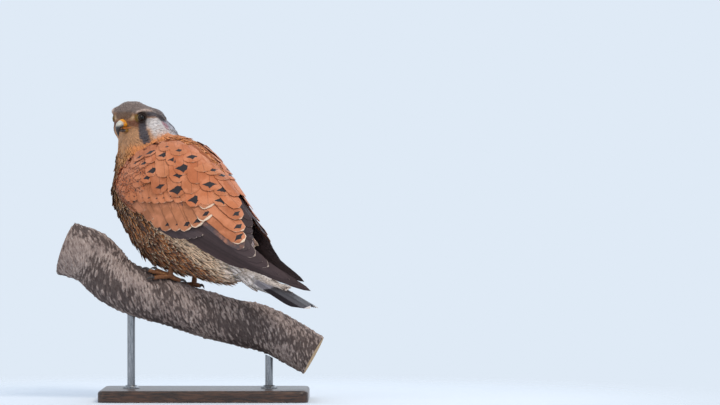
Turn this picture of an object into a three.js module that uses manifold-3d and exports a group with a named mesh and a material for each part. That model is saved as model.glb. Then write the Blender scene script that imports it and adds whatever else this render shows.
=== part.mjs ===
// A life-size male common kestrel on a cut length of branch, which two short rods carry over a flat base.
// Millimetres, +Z up. The origin is the centre of the base's underside, and the branch runs along X.
import * as THREE from "three";
import { mergeVertices } from "three/addons/utils/BufferGeometryUtils.js";
import Module from "manifold-3d";

const wasm = await Module();
wasm.setup();

// Driving dimensions
const GAP = 0.3; // between pieces that touch
const TURNED_AWAY = 30; // degrees that the bird faces away from the branch's own line
const STANDS_BACK = -12; // where the bird's middle plane crosses the branch's middle
const HEAD_AT = [81, 0, 287.5]; // middle of the head, in the bird's own frame
const HEAD_YAW = 79; // the head looks back over the left shoulder
const HEAD_PITCH = 2; // and a little down

// The bird's own frame: +X forward, +Y to its left, +Z up.
const bird = new THREE.Group();
bird.position.set(0, STANDS_BACK, 0);
bird.rotation.z = THREE.MathUtils.degToRad(180 - TURNED_AWAY);

// Closed meshes and solids
function solidOf(geometry) {
  const bare = new THREE.BufferGeometry();
  bare.setAttribute("position", geometry.getAttribute("position"));
  bare.setIndex(geometry.index);
  const merged = mergeVertices(bare, 1e-4);
  return new wasm.Manifold(
    new wasm.Mesh({
      numProp: 3,
      vertProperties: merged.attributes.position.array,
      triVerts: new Uint32Array(merged.index.array),
    }),
  );
}

function geometryOf(solid) {
  const mesh = solid.getMesh();
  const positions = new Float32Array(mesh.numVert * 3);
  for (let i = 0; i < mesh.numVert; i++) {
    const start = i * mesh.numProp;
    positions.set(mesh.vertProperties.subarray(start, start + 3), i * 3);
  }
  const geometry = new THREE.BufferGeometry();
  geometry.setAttribute("position", new THREE.BufferAttribute(positions, 3));
  geometry.setIndex(new THREE.BufferAttribute(mesh.triVerts, 1));
  return geometry;
}

function largest(solid) {
  return solid.decompose().reduce((a, b) => (b.volume() > a.volume() ? b : a));
}

function union(solids) {
  return solids.reduce((a, b) => a.add(b));
}

function clamp01(t) {
  return Math.min(1, Math.max(0, t));
}

function smoothstep(low, high, x) {
  const t = clamp01((x - low) / (high - low));
  return t * t * (3 - 2 * t);
}

// A lobe of flesh: an ellipsoid by its centre, half sizes (long, wide, deep) and pitch in degrees, nose up.
function lobe([x, y, z], [long, wide, deep], pitch = 0) {
  const turn = THREE.MathUtils.degToRad(pitch);
  return { x, y, z, long, wide, deep, cos: Math.cos(turn), sin: Math.sin(turn) };
}

function lobeDistance(l, p) {
  const dx = p.x - l.x;
  const dz = p.z - l.z;
  const a = (dx * l.cos + dz * l.sin) / l.long;
  const b = (p.y - l.y) / l.wide;
  const c = (dz * l.cos - dx * l.sin) / l.deep;
  const near = Math.hypot(a, b, c);
  const slope = Math.hypot(a / l.long, b / l.wide, c / l.deep);
  return slope < 1e-9 ? -l.deep : (near * (near - 1)) / slope;
}

// Lobes run into each other over a blend of so many millimetres.
function flesh(lobes, blend) {
  return (p) => {
    let d = Infinity;
    for (const l of lobes) {
      const e = lobeDistance(l, p);
      const h = clamp01(0.5 + (0.5 * (d - e)) / blend);
      d = d === Infinity ? e : d * (1 - h) + e * h - blend * h * (1 - h);
    }
    return d;
  };
}

// The outermost point of a flesh along a ray, grown by so many millimetres.
function reach(field, from, direction, grow, far) {
  const step = 3;
  const at = (t) => from.clone().addScaledVector(direction, t);
  let out = far;
  while (out > step && field(at(out - step)) > grow) out -= step;
  let low = out - step;
  let high = out;
  for (let i = 0; i < 14; i++) {
    const mid = (low + high) / 2;
    if (field(at(mid)) > grow) high = mid;
    else low = mid;
  }
  return at((low + high) / 2);
}

// A closed skin round a flesh, by rays from its middle. Its poles lie on the axis, and stretch lengthens the grid.
function skinOf(field, middle, pitch, { stretch, rings, sides, far, grow = 0 }) {
  const turn = THREE.MathUtils.degToRad(pitch);
  const axis = new THREE.Vector3(Math.cos(turn), 0, Math.sin(turn));
  const up = new THREE.Vector3(-Math.sin(turn), 0, Math.cos(turn));
  const across = new THREE.Vector3(0, 1, 0);
  const points = [];
  const ray = (polar, round) => {
    const direction = axis.clone().multiplyScalar(Math.cos(polar) * stretch);
    direction.addScaledVector(across, Math.sin(polar) * Math.cos(round));
    direction.addScaledVector(up, Math.sin(polar) * Math.sin(round));
    return reach(field, middle, direction.normalize(), grow, far);
  };
  points.push(ray(0, 0));
  for (let i = 1; i < rings; i++) {
    for (let j = 0; j < sides; j++) {
      points.push(ray((Math.PI * i) / rings, (2 * Math.PI * j) / sides));
    }
  }
  points.push(ray(Math.PI, 0));
  const last = points.length - 1;
  const at = (i, j) => 1 + (i - 1) * sides + (j % sides);
  const faces = [];
  for (let j = 0; j < sides; j++) {
    faces.push(0, at(1, j), at(1, j + 1));
    faces.push(last, at(rings - 1, j + 1), at(rings - 1, j));
    for (let i = 1; i < rings - 1; i++) {
      faces.push(at(i, j), at(i + 1, j), at(i + 1, j + 1));
      faces.push(at(i, j), at(i + 1, j + 1), at(i, j + 1));
    }
  }
  return closedMesh(points, faces);
}

function closedMesh(points, faces) {
  const geometry = new THREE.BufferGeometry();
  geometry.setFromPoints(points);
  geometry.setIndex(faces);
  return geometry;
}

// A tube of oval rings, each {at, along, wide, deep}, with flat ends. Its width lies towards the reference.
function tube(rings, sides, reference = new THREE.Vector3(0, 1, 0), bump = () => 0) {
  const points = [];
  for (const ring of rings) {
    const side = reference.clone().addScaledVector(ring.along, -reference.dot(ring.along)).normalize();
    const other = ring.along.clone().cross(side);
    for (let j = 0; j < sides; j++) {
      const round = (2 * Math.PI * j) / sides;
      const more = bump(ring, round);
      const p = ring.at.clone().addScaledVector(side, Math.cos(round) * (ring.wide + more));
      points.push(p.addScaledVector(other, Math.sin(round) * (ring.deep + more)));
    }
  }
  const top = rings.length - 1;
  const start = points.push(rings[0].at.clone()) - 1;
  const end = points.push(rings[top].at.clone()) - 1;
  const at = (i, j) => i * sides + (j % sides);
  const faces = [];
  for (let j = 0; j < sides; j++) {
    faces.push(start, at(0, j + 1), at(0, j));
    faces.push(end, at(top, j), at(top, j + 1));
    for (let i = 0; i < top; i++) {
      faces.push(at(i, j), at(i, j + 1), at(i + 1, j + 1));
      faces.push(at(i, j), at(i + 1, j + 1), at(i + 1, j));
    }
  }
  return closedMesh(points, faces);
}

// The rings of a tube through given points, with sizes that run evenly between those given.
function ringsAlong(points, wide, deep, count) {
  const line = new THREE.CatmullRomCurve3(points);
  const rings = [];
  for (let i = 0; i <= count; i++) {
    const t = i / count;
    const size = { wide: between(wide, t), deep: between(deep, t) };
    rings.push({ at: line.getPoint(t), along: line.getTangent(t), ...size });
  }
  return rings;
}

function between(values, t) {
  const x = clamp01(t) * (values.length - 1);
  const i = Math.min(values.length - 2, Math.floor(x));
  return THREE.MathUtils.lerp(values[i], values[i + 1], x - i);
}

// The same shape on the bird's other side
function mirrored(geometry) {
  const copy = geometry.clone();
  copy.scale(1, -1, 1);
  const index = copy.index.array;
  for (let i = 0; i < index.length; i += 3) {
    [index[i + 1], index[i + 2]] = [index[i + 2], index[i + 1]];
  }
  return copy;
}

// Materials
const colours = {
  rufous: 0xb5683f,
  grey: 0x77747c,
  buff: 0xa9845c,
  tail: 0x8f8b92,
  horn: 0x3a3d48,
  yellow: 0xe0a020,
  eye: 0x140d0a,
  claw: 0x1b1a1c,
  bark: 0x5d5150,
  base: 0x2b2320,
  steel: 0x55585c,
};
function material(colour, roughness = 0.8, metalness = 0) {
  return new THREE.MeshStandardMaterial({ color: colours[colour], roughness, metalness });
}

const object = new THREE.Group();
object.add(bird);
bird.updateMatrixWorld(true);
function place(parent, name, solid, colour, roughness, metalness) {
  const mesh = new THREE.Mesh(geometryOf(largest(solid)), material(colour, roughness, metalness));
  mesh.name = name;
  parent.add(mesh);
  return mesh;
}

// The branch: its line, its thickness, and the bumps of its bark
const branchLine = new THREE.CatmullRomCurve3([
  new THREE.Vector3(-143, 5, 156),
  new THREE.Vector3(-118, 2, 147),
  new THREE.Vector3(-91, -1, 122),
  new THREE.Vector3(-33, 0, 99),
  new THREE.Vector3(24, 2, 82),
  new THREE.Vector3(66, 1, 71),
  new THREE.Vector3(112, -3, 46),
]);
const BRANCH_RADII = [29.5, 27, 24.5, 24.8, 22.5];
const BRANCH_RINGS = 22;
const BRANCH_SIDES = 20;
function barkBump(ring, round) {
  return 0.5 * Math.sin(3 * round + ring.at.x / 17) + 0.4 * Math.sin(5 * round - ring.at.x / 11);
}
function branchSolid(grow) {
  const rings = [];
  for (let i = 0; i <= BRANCH_RINGS; i++) {
    const t = i / BRANCH_RINGS;
    const r = between(BRANCH_RADII, t) + grow;
    rings.push({ at: branchLine.getPointAt(t), along: branchLine.getTangentAt(t), wide: r, deep: r });
  }
  return solidOf(tube(rings, BRANCH_SIDES, new THREE.Vector3(0, 1, 0), barkBump));
}
place(object, "perch_branch", branchSolid(0), "bark");

const roundBranch = branchSolid(GAP);

// A point by the branch: so far along X, so many radians round from the top towards the near side, so high
function byBranch(x, round, height) {
  let low = 0;
  let high = 1;
  for (let i = 0; i < 20; i++) {
    const mid = (low + high) / 2;
    if (branchLine.getPointAt(mid).x < x) low = mid;
    else high = mid;
  }
  const along = branchLine.getTangentAt(low);
  const near = new THREE.Vector3(0, -1, 0).addScaledVector(along, along.y).normalize();
  const up = near.clone().cross(along).normalize();
  const out = up.multiplyScalar(Math.cos(round)).addScaledVector(near, Math.sin(round));
  return branchLine.getPointAt(low).addScaledVector(out, between(BRANCH_RADII, low) + height);
}

// The body: torso and neck are one flesh, parted where the neck's feathers meet the mantle.
const bodyLobes = [
  lobe([31, 0, 196], [76, 40, 62], 33.5),
  lobe([63, 0, 219.5], [38, 38, 44.5], 74),
  lobe([36, 0, 232], [38, 37, 36.5], 50),
  lobe([74.5, 0, 261], [28, 27, 35], 45),
  lobe([-18.5, 0, 160], [37, 25, 38.5], 27),
];
const body = flesh(bodyLobes, 18);
const BODY_MIDDLE = new THREE.Vector3(30, 0, 198);
const BODY_GRID = { stretch: 1.5, rings: 20, sides: 28, far: 150 };
const NECK_CUT = { normal: [0.46, 0, 0.888], offset: 253.4 };
const bodySkin = solidOf(skinOf(body, BODY_MIDDLE, 48, BODY_GRID));
const roundBody = solidOf(skinOf(body, BODY_MIDDLE, 48, { ...BODY_GRID, grow: GAP }));
const turned = NECK_CUT.normal.map((n) => -n);
place(bird, "torso", bodySkin.trimByPlane(turned, GAP / 2 - NECK_CUT.offset), "buff");

// The head: skull, forehead, nape, cheeks and brows are its flesh.
const headLobes = [
  lobe([1.5, 0, 3], [24, 25.5, 15.5]),
  lobe([7, 0, 1.5], [13, 17, 17]),
  lobe([-17, 0, -7], [19, 22, 15.5]),
  lobe([5, 13, -7.5], [15.5, 12.5, 12.5]),
  lobe([5, -13, -7.5], [15.5, 12.5, 12.5]),
  lobe([13, 18, 9.5], [9, 4, 2.5]),
  lobe([13, -18, 9.5], [9, 4, 2.5]),
];
const face = flesh(headLobes, 7);
const head = new THREE.Group();
head.position.set(...HEAD_AT);
head.rotation.order = "ZYX";
head.rotation.z = THREE.MathUtils.degToRad(HEAD_YAW);
head.rotation.y = THREE.MathUtils.degToRad(HEAD_PITCH);
bird.add(head);
head.updateMatrixWorld(true);
const HEAD_MIDDLE = new THREE.Vector3(0, 0, -1);
const HEAD_GRID = { stretch: 1, rings: 16, sides: 24, far: 60 };
function headSolid(grow) {
  return solidOf(skinOf(face, HEAD_MIDDLE, 0, { ...HEAD_GRID, grow }));
}

// The eyes look sideways and a little forward, each in a raised ring of lid.
const EYE_RADIUS = 5.6;
const EYE_AT = new THREE.Vector3(14.6, 18.4, 3.6);
const EYE_LOOKS = new THREE.Vector3(0.34, 0.93, 0.08).normalize();
const LID_RADIUS = 4.5;
const LID_THICK = 0.9;
function eyeBall(grow) {
  const ball = new THREE.SphereGeometry(EYE_RADIUS + grow, 12, 9);
  ball.rotateX(Math.PI / 2);
  ball.translate(EYE_AT.x, EYE_AT.y, EYE_AT.z);
  return ball;
}
function lidRing() {
  const ring = new THREE.TorusGeometry(LID_RADIUS, LID_THICK, 5, 14);
  ring.applyQuaternion(new THREE.Quaternion().setFromUnitVectors(new THREE.Vector3(0, 0, 1), EYE_LOOKS));
  const out = Math.sqrt(EYE_RADIUS ** 2 - LID_RADIUS ** 2);
  const at = EYE_AT.clone().addScaledVector(EYE_LOOKS, out);
  ring.translate(at.x, at.y, at.z);
  return ring;
}

// The bill: upper half and cere are one hooked tube, cut across where the cere ends.
const BILL_LINE = [
  new THREE.Vector3(17, 0, -1.8),
  new THREE.Vector3(24.6, 0, -2.2),
  new THREE.Vector3(28.6, 0, -3.8),
  new THREE.Vector3(30.4, 0, -7.4),
  new THREE.Vector3(30.4, 0, -11),
  new THREE.Vector3(29.6, 0, -14.4),
];
const BILL_WIDE = [5.2, 5, 4.2, 3, 1.8, 0.35];
const BILL_DEEP = [5, 4.8, 4.2, 3.3, 2, 0.35];
const CERE_ENDS = 27.2;
const MOUTH_AT = -6.6; // height of the line of the mouth
const MOUTH_CORNER = 16.5; // how far back it runs
function lowerBill(grow) {
  const end = new THREE.Vector3(28.6 + grow, 0, -8.8);
  const line = [new THREE.Vector3(16, 0, -8.9), new THREE.Vector3(23, 0, -9), end];
  const wide = [4.6, 4, 1.5].map((w) => w + grow);
  const deep = [2.2, 2, 0.9].map((d) => d + grow);
  return solidOf(tube(ringsAlong(line, wide, deep, 6), 10));
}
function upperBill(grow) {
  const wide = BILL_WIDE.map((w) => w + grow);
  const deep = BILL_DEEP.map((d) => d + grow);
  return solidOf(tube(ringsAlong(BILL_LINE, wide, deep, 14), 14));
}
const NOSTRIL_AT = [25.3, 4.4, -0.6];
function nostril(side) {
  const pit = new THREE.SphereGeometry(1.15, 8, 6);
  pit.translate(NOSTRIL_AT[0], side * NOSTRIL_AT[1], NOSTRIL_AT[2]);
  return solidOf(pit);
}
const roundHead = headSolid(GAP);
const hook = upperBill(0).subtract(lowerBill(GAP)).subtract(roundHead);
const cere = hook.trimByPlane([-1, 0, 0], GAP / 2 - CERE_ENDS);
place(head, "cere", cere.subtract(nostril(1)).subtract(nostril(-1)), "yellow", 0.5);
place(head, "bill_upper", hook.trimByPlane([1, 0, 0], CERE_ENDS + GAP / 2), "horn", 0.35);
place(head, "bill_lower", lowerBill(0).subtract(roundHead), "horn", 0.35);

// The mouth's line is a shallow groove from the bill back under the eye.
const slot = new THREE.BoxGeometry(30, 60, 0.7);
slot.translate(MOUTH_CORNER + 15, 0, MOUTH_AT);
const mouthLine = solidOf(slot).subtract(headSolid(-1.6));
const leftLid = lidRing();
const lids = solidOf(leftLid).add(solidOf(mirrored(leftLid)));
const sockets = solidOf(eyeBall(GAP)).add(solidOf(mirrored(eyeBall(GAP))));
place(head, "head", headSolid(0).add(lids).subtract(sockets).subtract(mouthLine), "grey");
place(head, "eye_left", solidOf(eyeBall(0)), "eye", 0.1);
place(head, "eye_right", solidOf(mirrored(eyeBall(0))), "eye", 0.1);

// The neck fills the room between the mantle and the head.
function fromHead(solid) {
  const geometry = geometryOf(solid);
  geometry.applyMatrix4(head.matrix);
  return solidOf(geometry);
}
const headAndBill = fromHead(union([roundHead, lowerBill(GAP), upperBill(GAP)]));
const neck = bodySkin.trimByPlane(NECK_CUT.normal, NECK_CUT.offset + GAP / 2);
place(bird, "neck", neck.subtract(headAndBill), "buff");

// The wings. A wing is draped over the body, and past the bend it runs straight to the tip.
const WRIST = new THREE.Vector3(86, 0, 229);
const WING_AXIS = new THREE.Vector3(-129.5, 0, 113.3).sub(WRIST).normalize();
const WING_UP = new THREE.Vector3(WING_AXIS.z, 0, -WING_AXIS.x);
const WING_BEND = 80;
const BED_FALLS = { side: 0.185, top: 0.45 }; // how fast the bed closes in past the bend

// A point of the wing: so far from the wrist, so many degrees up from the side, so high over its bed
function wingAt(s, degrees, height) {
  const turn = THREE.MathUtils.degToRad(degrees);
  const out = new THREE.Vector3(0, Math.cos(turn), 0).addScaledVector(WING_UP, Math.sin(turn));
  const from = WRIST.clone().addScaledVector(WING_AXIS, Math.min(s, WING_BEND));
  const radius = reach(body, from, out, 0, 90).distanceTo(from);
  const falls = THREE.MathUtils.lerp(BED_FALLS.side, BED_FALLS.top, smoothstep(20, 80, degrees));
  const at = WRIST.clone().addScaledVector(WING_AXIS, s);
  return at.addScaledVector(out, radius - falls * Math.max(0, s - WING_BEND) + height);
}
function draped(p, height) {
  const q = p.clone().sub(WRIST);
  const s = q.dot(WING_AXIS);
  return wingAt(s, THREE.MathUtils.radToDeg(Math.atan2(q.dot(WING_UP), q.y)), height);
}

// The coverts' bed is a plate whose thickness steps down from row to row.
const PLATE_STARTS = 4;
const PLATE_ENDS = 116;
const PLATE_COLUMNS = 14;
const PLATE_ROWS = 9;
const PLATE_LOW = [-14, -22, -25, -22, -18, -16, -15, -19];
const PLATE_HIGH = [32, 60, 76, 84, 87, 88, 88, 88];
const PLATE_EDGE = 2.4;
const PLATE_STEPS = { under: 3, coverts: 2.8, scapulars: 1.8 };
function plateHeight(s, v, degrees) {
  const front = smoothstep(-4, 36, s);
  const coverts = PLATE_STEPS.coverts * (1 - smoothstep(84, 94, s));
  const scapulars = PLATE_STEPS.scapulars * (1 - smoothstep(60, 70, s)) * smoothstep(22, 34, degrees);
  const low = smoothstep(0, 0.12, v);
  const high = 1 - (1 - smoothstep(34, 66, s)) * smoothstep(0.45, 1, v);
  const rise = PLATE_STEPS.under + coverts + scapulars - PLATE_EDGE;
  return PLATE_EDGE + rise * front * (0.2 + 0.8 * low) * high;
}
function wingPlate() {
  const points = [];
  const faces = [];
  for (const inner of [false, true]) {
    for (let i = 0; i <= PLATE_COLUMNS; i++) {
      const t = i / PLATE_COLUMNS;
      const s = THREE.MathUtils.lerp(PLATE_STARTS, PLATE_ENDS, t);
      for (let j = 0; j <= PLATE_ROWS; j++) {
        const v = j / PLATE_ROWS;
        const degrees = THREE.MathUtils.lerp(between(PLATE_LOW, t), between(PLATE_HIGH, t), v);
        points.push(wingAt(s, degrees, inner ? -3 : plateHeight(s, v, degrees)));
      }
    }
  }
  const layer = (PLATE_COLUMNS + 1) * (PLATE_ROWS + 1);
  const at = (i, j) => i * (PLATE_ROWS + 1) + j;
  const quad = (a, b, c, d) => faces.push(a, b, c, a, c, d);
  for (let i = 0; i < PLATE_COLUMNS; i++) {
    for (let j = 0; j < PLATE_ROWS; j++) {
      quad(at(i, j), at(i, j + 1), at(i + 1, j + 1), at(i + 1, j));
      const under = layer + at(i, j);
      quad(under, under + PLATE_ROWS + 1, under + PLATE_ROWS + 2, under + 1);
    }
    quad(at(i, 0), at(i + 1, 0), layer + at(i + 1, 0), layer + at(i, 0));
    quad(at(i + 1, PLATE_ROWS), at(i, PLATE_ROWS), layer + at(i, PLATE_ROWS), layer + at(i + 1, PLATE_ROWS));
  }
  for (let j = 0; j < PLATE_ROWS; j++) {
    quad(at(0, j + 1), at(0, j), layer + at(0, j), layer + at(0, j + 1));
    const i = PLATE_COLUMNS;
    quad(at(i, j), at(i, j + 1), layer + at(i, j + 1), layer + at(i, j));
  }
  return outward(closedMesh(points, faces));
}

// A solid from a closed mesh whichever way its faces were wound
function outward(geometry) {
  const solid = solidOf(geometry);
  if (solid.volume() > 0) return solid;
  const index = geometry.index.array;
  for (let i = 0; i < index.length; i += 3) {
    [index[i + 1], index[i + 2]] = [index[i + 2], index[i + 1]];
  }
  return solidOf(geometry);
}

// A vane from its sections. Each runs over the outer face and back along the inner one, with like points on both.
function vaneSolid(sections) {
  const last = sections.length - 1;
  const size = sections[0].length;
  const outer = size / 2;
  const at = (i, k) => size * i + (k % size);
  const faces = [];
  for (let k = 0; k < size; k++) {
    const alike = k < outer - 1 && k % 2 === 1;
    const mirror = k >= outer && k < size - 1 && (size - 2 - k) % 2 === 0;
    for (let i = 0; i < last; i++) {
      const [a, b, c, d] = [at(i, k), at(i, k + 1), at(i + 1, k + 1), at(i + 1, k)];
      faces.push(...(alike || mirror ? [a, b, d, b, c, d] : [a, b, c, a, c, d]));
    }
  }
  for (let k = 0; k < outer - 1; k++) {
    const quad = [k, size - 1 - k, size - 2 - k, k + 1];
    for (const [a, b, c] of [[0, 1, 2], [0, 2, 3]]) {
      faces.push(at(0, quad[a]), at(0, quad[b]), at(0, quad[c]));
      faces.push(at(last, quad[a]), at(last, quad[c]), at(last, quad[b]));
    }
  }
  return outward(closedMesh(sections.flat(), faces));
}

// A wing's vane: root and tip are [distance, degrees], heights are over the bed, and its lower edge tilts up.
const VANE_THICK = 0.6;
const LONG_VANE = { stations: [0, 0.38, 0.76, 0.93, 1], shape: [0.8, 1, 0.95, 0.68, 0.2] };
const SHORT_VANE = { stations: [0, 0.5, 0.86, 1], shape: [0.8, 1, 0.82, 0.25] };
const MIDPLANE_CLEAR = 0.5;
function wingVane({ root, tip, half, heights, tilt, form }) {
  const from = wingAt(root[0], root[1], 0);
  const to = wingAt(tip[0], tip[1], 0);
  const along = to.clone().sub(from).normalize();
  const sections = form.stations.map((t, i) => {
    const middle = from.clone().lerp(to, t);
    const out = middle.clone().sub(WRIST);
    out.addScaledVector(WING_AXIS, -out.dot(WING_AXIS)).normalize();
    const across = out.clone().cross(along).normalize();
    if (across.dot(WING_UP) < 0) across.negate();
    const height = between(heights, t);
    const section = [];
    for (const side of [1, -1]) {
      for (const e of [-side, 0, side]) {
        const offset = e * half * form.shape[i];
        const level = height - between(tilt, t) * offset + (side * VANE_THICK) / 2;
        const p = draped(middle.clone().addScaledVector(across, offset), level);
        p.y = Math.max(p.y, MIDPLANE_CLEAR);
        section.push(p);
      }
    }
    return section;
  });
  return vaneSolid(sections);
}

// Rows of vanes, each from the lowest up. Sizes run evenly between those given, and a row climbs as it goes.
const WING_ROWS = [
  {
    // primaries, the outermost first
    form: LONG_VANE,
    count: 5,
    roots: { s: [104, 104], degrees: [-19, 1] },
    tips: { s: [224, 246, 227, 211, 197], degrees: [-18, -3, 3, 8, 12] },
    half: 4.3,
    heights: [1.6, 1.4],
    climb: [0.3, 0.52],
    tilt: [0.3, 0.34],
  },
  {
    // secondaries
    form: LONG_VANE,
    count: 3,
    roots: { s: [104, 104], degrees: [7, 21] },
    tips: { s: [186, 176, 166], degrees: [15, 23, 34] },
    half: 5.2,
    heights: [3.05, 4.35],
    climb: [0.1, 0.25],
    tilt: [0.25, 0.23],
  },
  {
    // tertials
    form: LONG_VANE,
    count: 4,
    roots: { s: [82, 80], degrees: [38, 81] },
    tips: { s: [162, 155, 146, 134], degrees: [18, 30, 50, 76] },
    half: 6.8,
    heights: [4.3, 7.4],
    climb: [0.1, 0.3],
    tilt: [0.17, 0.2],
  },
  {
    // greater coverts
    form: SHORT_VANE,
    count: 4,
    roots: { s: [80, 80], degrees: [-8, 9] },
    tips: { s: [114, 120, 124, 124], degrees: [-10, 3] },
    half: 5.8,
    heights: [4.9, 5.8],
    climb: [0.42, 0.6],
    tilt: [0.22, 0.22],
  },
  {
    // scapulars
    form: LONG_VANE,
    count: 4,
    roots: { s: [54, 60], degrees: [39, 79] },
    tips: { s: [104, 112, 114, 112], degrees: [36, 78] },
    half: 7.8,
    heights: [7.5, 9.3],
    climb: [0.1, 0.1],
    tilt: [0.13, 0.13],
  },
];
function rowOf({ form, count, roots, tips, half, heights, climb, tilt }, folded) {
  const vanes = [];
  for (let i = 0; i < count; i++) {
    const t = i / (count - 1);
    const reachTo = between(tips.s, t);
    const shorter = folded.shorter * smoothstep(170, 246, reachTo);
    const lower = folded.lower * smoothstep(110, 170, reachTo);
    const tip = [reachTo - shorter, between(tips.degrees, t) - lower];
    const root = [between(roots.s, t), between(roots.degrees, t)];
    const level = heights.map((h, end) => h + climb[end] * i);
    vanes.push(wingVane({ root, tip, half, heights: level, tilt, form }));
  }
  return vanes;
}
function wingSolid(folded) {
  const vanes = WING_ROWS.flatMap((row) => rowOf(row, folded));
  return wingPlate().add(union(vanes)).subtract(roundBody);
}

// The right wing is folded closer: its tips end sooner, by millimetres, and lie lower, by degrees.
const LEFT_FOLDED = { shorter: 0, lower: 0 };
const RIGHT_FOLDED = { shorter: 24, lower: 16 };
place(bird, "wing_left", wingSolid(LEFT_FOLDED), "rufous");
const rightOnLeft = geometryOf(largest(wingSolid(RIGHT_FOLDED)));
place(bird, "wing_right", solidOf(mirrored(rightOnLeft)), "rufous");

// The tail: two halves of six feathers slope down from the middle like a roof, the middle ones on top.
const TAIL_TIP = new THREE.Vector3(-131, 0, 98);
const TAIL_LENGTH = 92;
const TAIL_SLOPE = THREE.MathUtils.degToRad(14);
const TAIL_AXIS = new THREE.Vector3(-0.894, 0, -0.447).normalize();
const TAIL_UP = new THREE.Vector3(TAIL_AXIS.z, 0, -TAIL_AXIS.x);
const TAIL_LAYER = 0.86;
const TAIL_THICK = 0.54;
const TAIL_STATIONS = [0, 0.45, 0.88, 0.97, 1];
const TAIL_SHAPE = [0.62, 0.88, 1, 0.8, 0.35];
const TAIL_HALF = 7.6;
function tailFeather(k) {
  const shorter = 1.3 * k;
  const lateral = [5.2 + 0.4 * k, 8.1 + 0.9 * k];
  const sections = TAIL_STATIONS.map((t, i) => {
    const middle = TAIL_TIP.clone().addScaledVector(TAIL_AXIS, (t - 1) * TAIL_LENGTH - shorter * t);
    const half = TAIL_HALF * TAIL_SHAPE[i];
    const section = [];
    for (const side of [1, -1]) {
      for (const e of [-side, side]) {
        const away = THREE.MathUtils.lerp(lateral[0], lateral[1], t) + e * half;
        const level = -TAIL_LAYER * k + (side * TAIL_THICK) / 2;
        const y = away * Math.cos(TAIL_SLOPE) + level * Math.sin(TAIL_SLOPE);
        const up = level * Math.cos(TAIL_SLOPE) - away * Math.sin(TAIL_SLOPE);
        section.push(middle.clone().addScaledVector(TAIL_UP, up).setY(y));
      }
    }
    return section;
  });
  return vaneSolid(sections);
}
const coverts = flesh([lobe([-49, 0, 132.5], [29, 13, 11.5], 25), lobe([-60, 0, 129.5], [26, 11.5, 6], 27)], 8);
const COVERTS_MIDDLE = new THREE.Vector3(-52, 0, 132);
const COVERTS_GRID = { stretch: 1.6, rings: 10, sides: 14, far: 60 };
const tailPieces = [solidOf(skinOf(coverts, COVERTS_MIDDLE, 27, COVERTS_GRID))];
for (let k = 0; k < 6; k++) {
  const feather = tailFeather(k);
  tailPieces.push(feather, solidOf(mirrored(geometryOf(feather))));
}
place(bird, "tail", union(tailPieces).subtract(roundBody), "tail");

// The feet grip the top of the branch. Directions are degrees from uphill along it towards the near side.
const TOE_SIDES = 7;
const feet = [
  { side: "left", x: -44, round: 0.36, toes: [-24, 6, 34], hind: 188 },
  { side: "right", x: -19, round: -0.42, toes: [-20, -50, -80], hind: 128 },
];
const BALL_RADIUS = 3.4;
const SHANK_LINE = [[0, 0, 0], [0.4, 0, 8], [1.5, 0, 22]]; // up from the ball of the foot
const SHANK_THICK = [2.5, 2.3, 2.9];
const TOE_LENGTHS = [18, 25, 20];
const HIND_LENGTH = 12;
const TOE_THICK = [2.6, 2.2, 2, 1.8];
const TOE_HEIGHTS = [3.6, 2.4, 2, 1.7];
const CLAW_LENGTH = 8.5;
const CLAW_THICK = [1.45, 1.2, 0.85, 0.25];
const CLAW_HEIGHTS = [1.75, 2.9, 2.5, 0.7];
function stepOnBranch(foot, degrees, d, height) {
  const turn = THREE.MathUtils.degToRad(degrees);
  const x = foot.x - Math.cos(turn) * d * 0.93;
  return byBranch(x, foot.round + (Math.sin(turn) * d) / 26, height);
}
function toe(foot, degrees, length, grow = 0) {
  const line = TOE_HEIGHTS.map((h, i) => stepOnBranch(foot, degrees, ((length + grow) * i) / 3, h));
  const thick = TOE_THICK.map((r) => r + grow);
  return solidOf(tube(ringsAlong(line, thick, thick, 5), TOE_SIDES));
}
function claw(foot, degrees, length) {
  const start = length - 0.4;
  const line = CLAW_HEIGHTS.map((h, i) => stepOnBranch(foot, degrees, start + (CLAW_LENGTH * i) / 3, h));
  const horn = solidOf(tube(ringsAlong(line, CLAW_THICK, CLAW_THICK, 5), 6));
  return horn.subtract(roundBranch).subtract(toe(foot, degrees, length, GAP));
}
function inWorld(solid) {
  const geometry = geometryOf(solid);
  geometry.applyMatrix4(bird.matrixWorld);
  return solidOf(geometry);
}
const roundBodyWorld = inWorld(roundBody);
const TOE_NAMES = ["inner", "middle", "outer"];
for (const foot of feet) {
  const ball = byBranch(foot.x, foot.round, BALL_RADIUS);
  const shank = SHANK_LINE.map(([x, y, z]) => new THREE.Vector3(x, y, z).add(ball));
  const ballSkin = new THREE.SphereGeometry(BALL_RADIUS, 8, 6);
  ballSkin.translate(ball.x, ball.y, ball.z);
  const pieces = [solidOf(ballSkin), solidOf(tube(ringsAlong(shank, SHANK_THICK, SHANK_THICK, 5), 10))];
  foot.toes.forEach((degrees, i) => pieces.push(toe(foot, degrees, TOE_LENGTHS[i])));
  pieces.push(toe(foot, foot.hind, HIND_LENGTH));
  const leg = union(pieces).subtract(roundBranch).subtract(roundBodyWorld);
  place(object, "leg_" + foot.side, leg, "yellow", 0.6);
  const claws = "claw_" + foot.side + "_";
  foot.toes.forEach((degrees, i) => {
    place(object, claws + TOE_NAMES[i], claw(foot, degrees, TOE_LENGTHS[i]), "claw", 0.35);
  });
  place(object, claws + "hind", claw(foot, foot.hind, HIND_LENGTH), "claw", 0.35);
}

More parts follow.
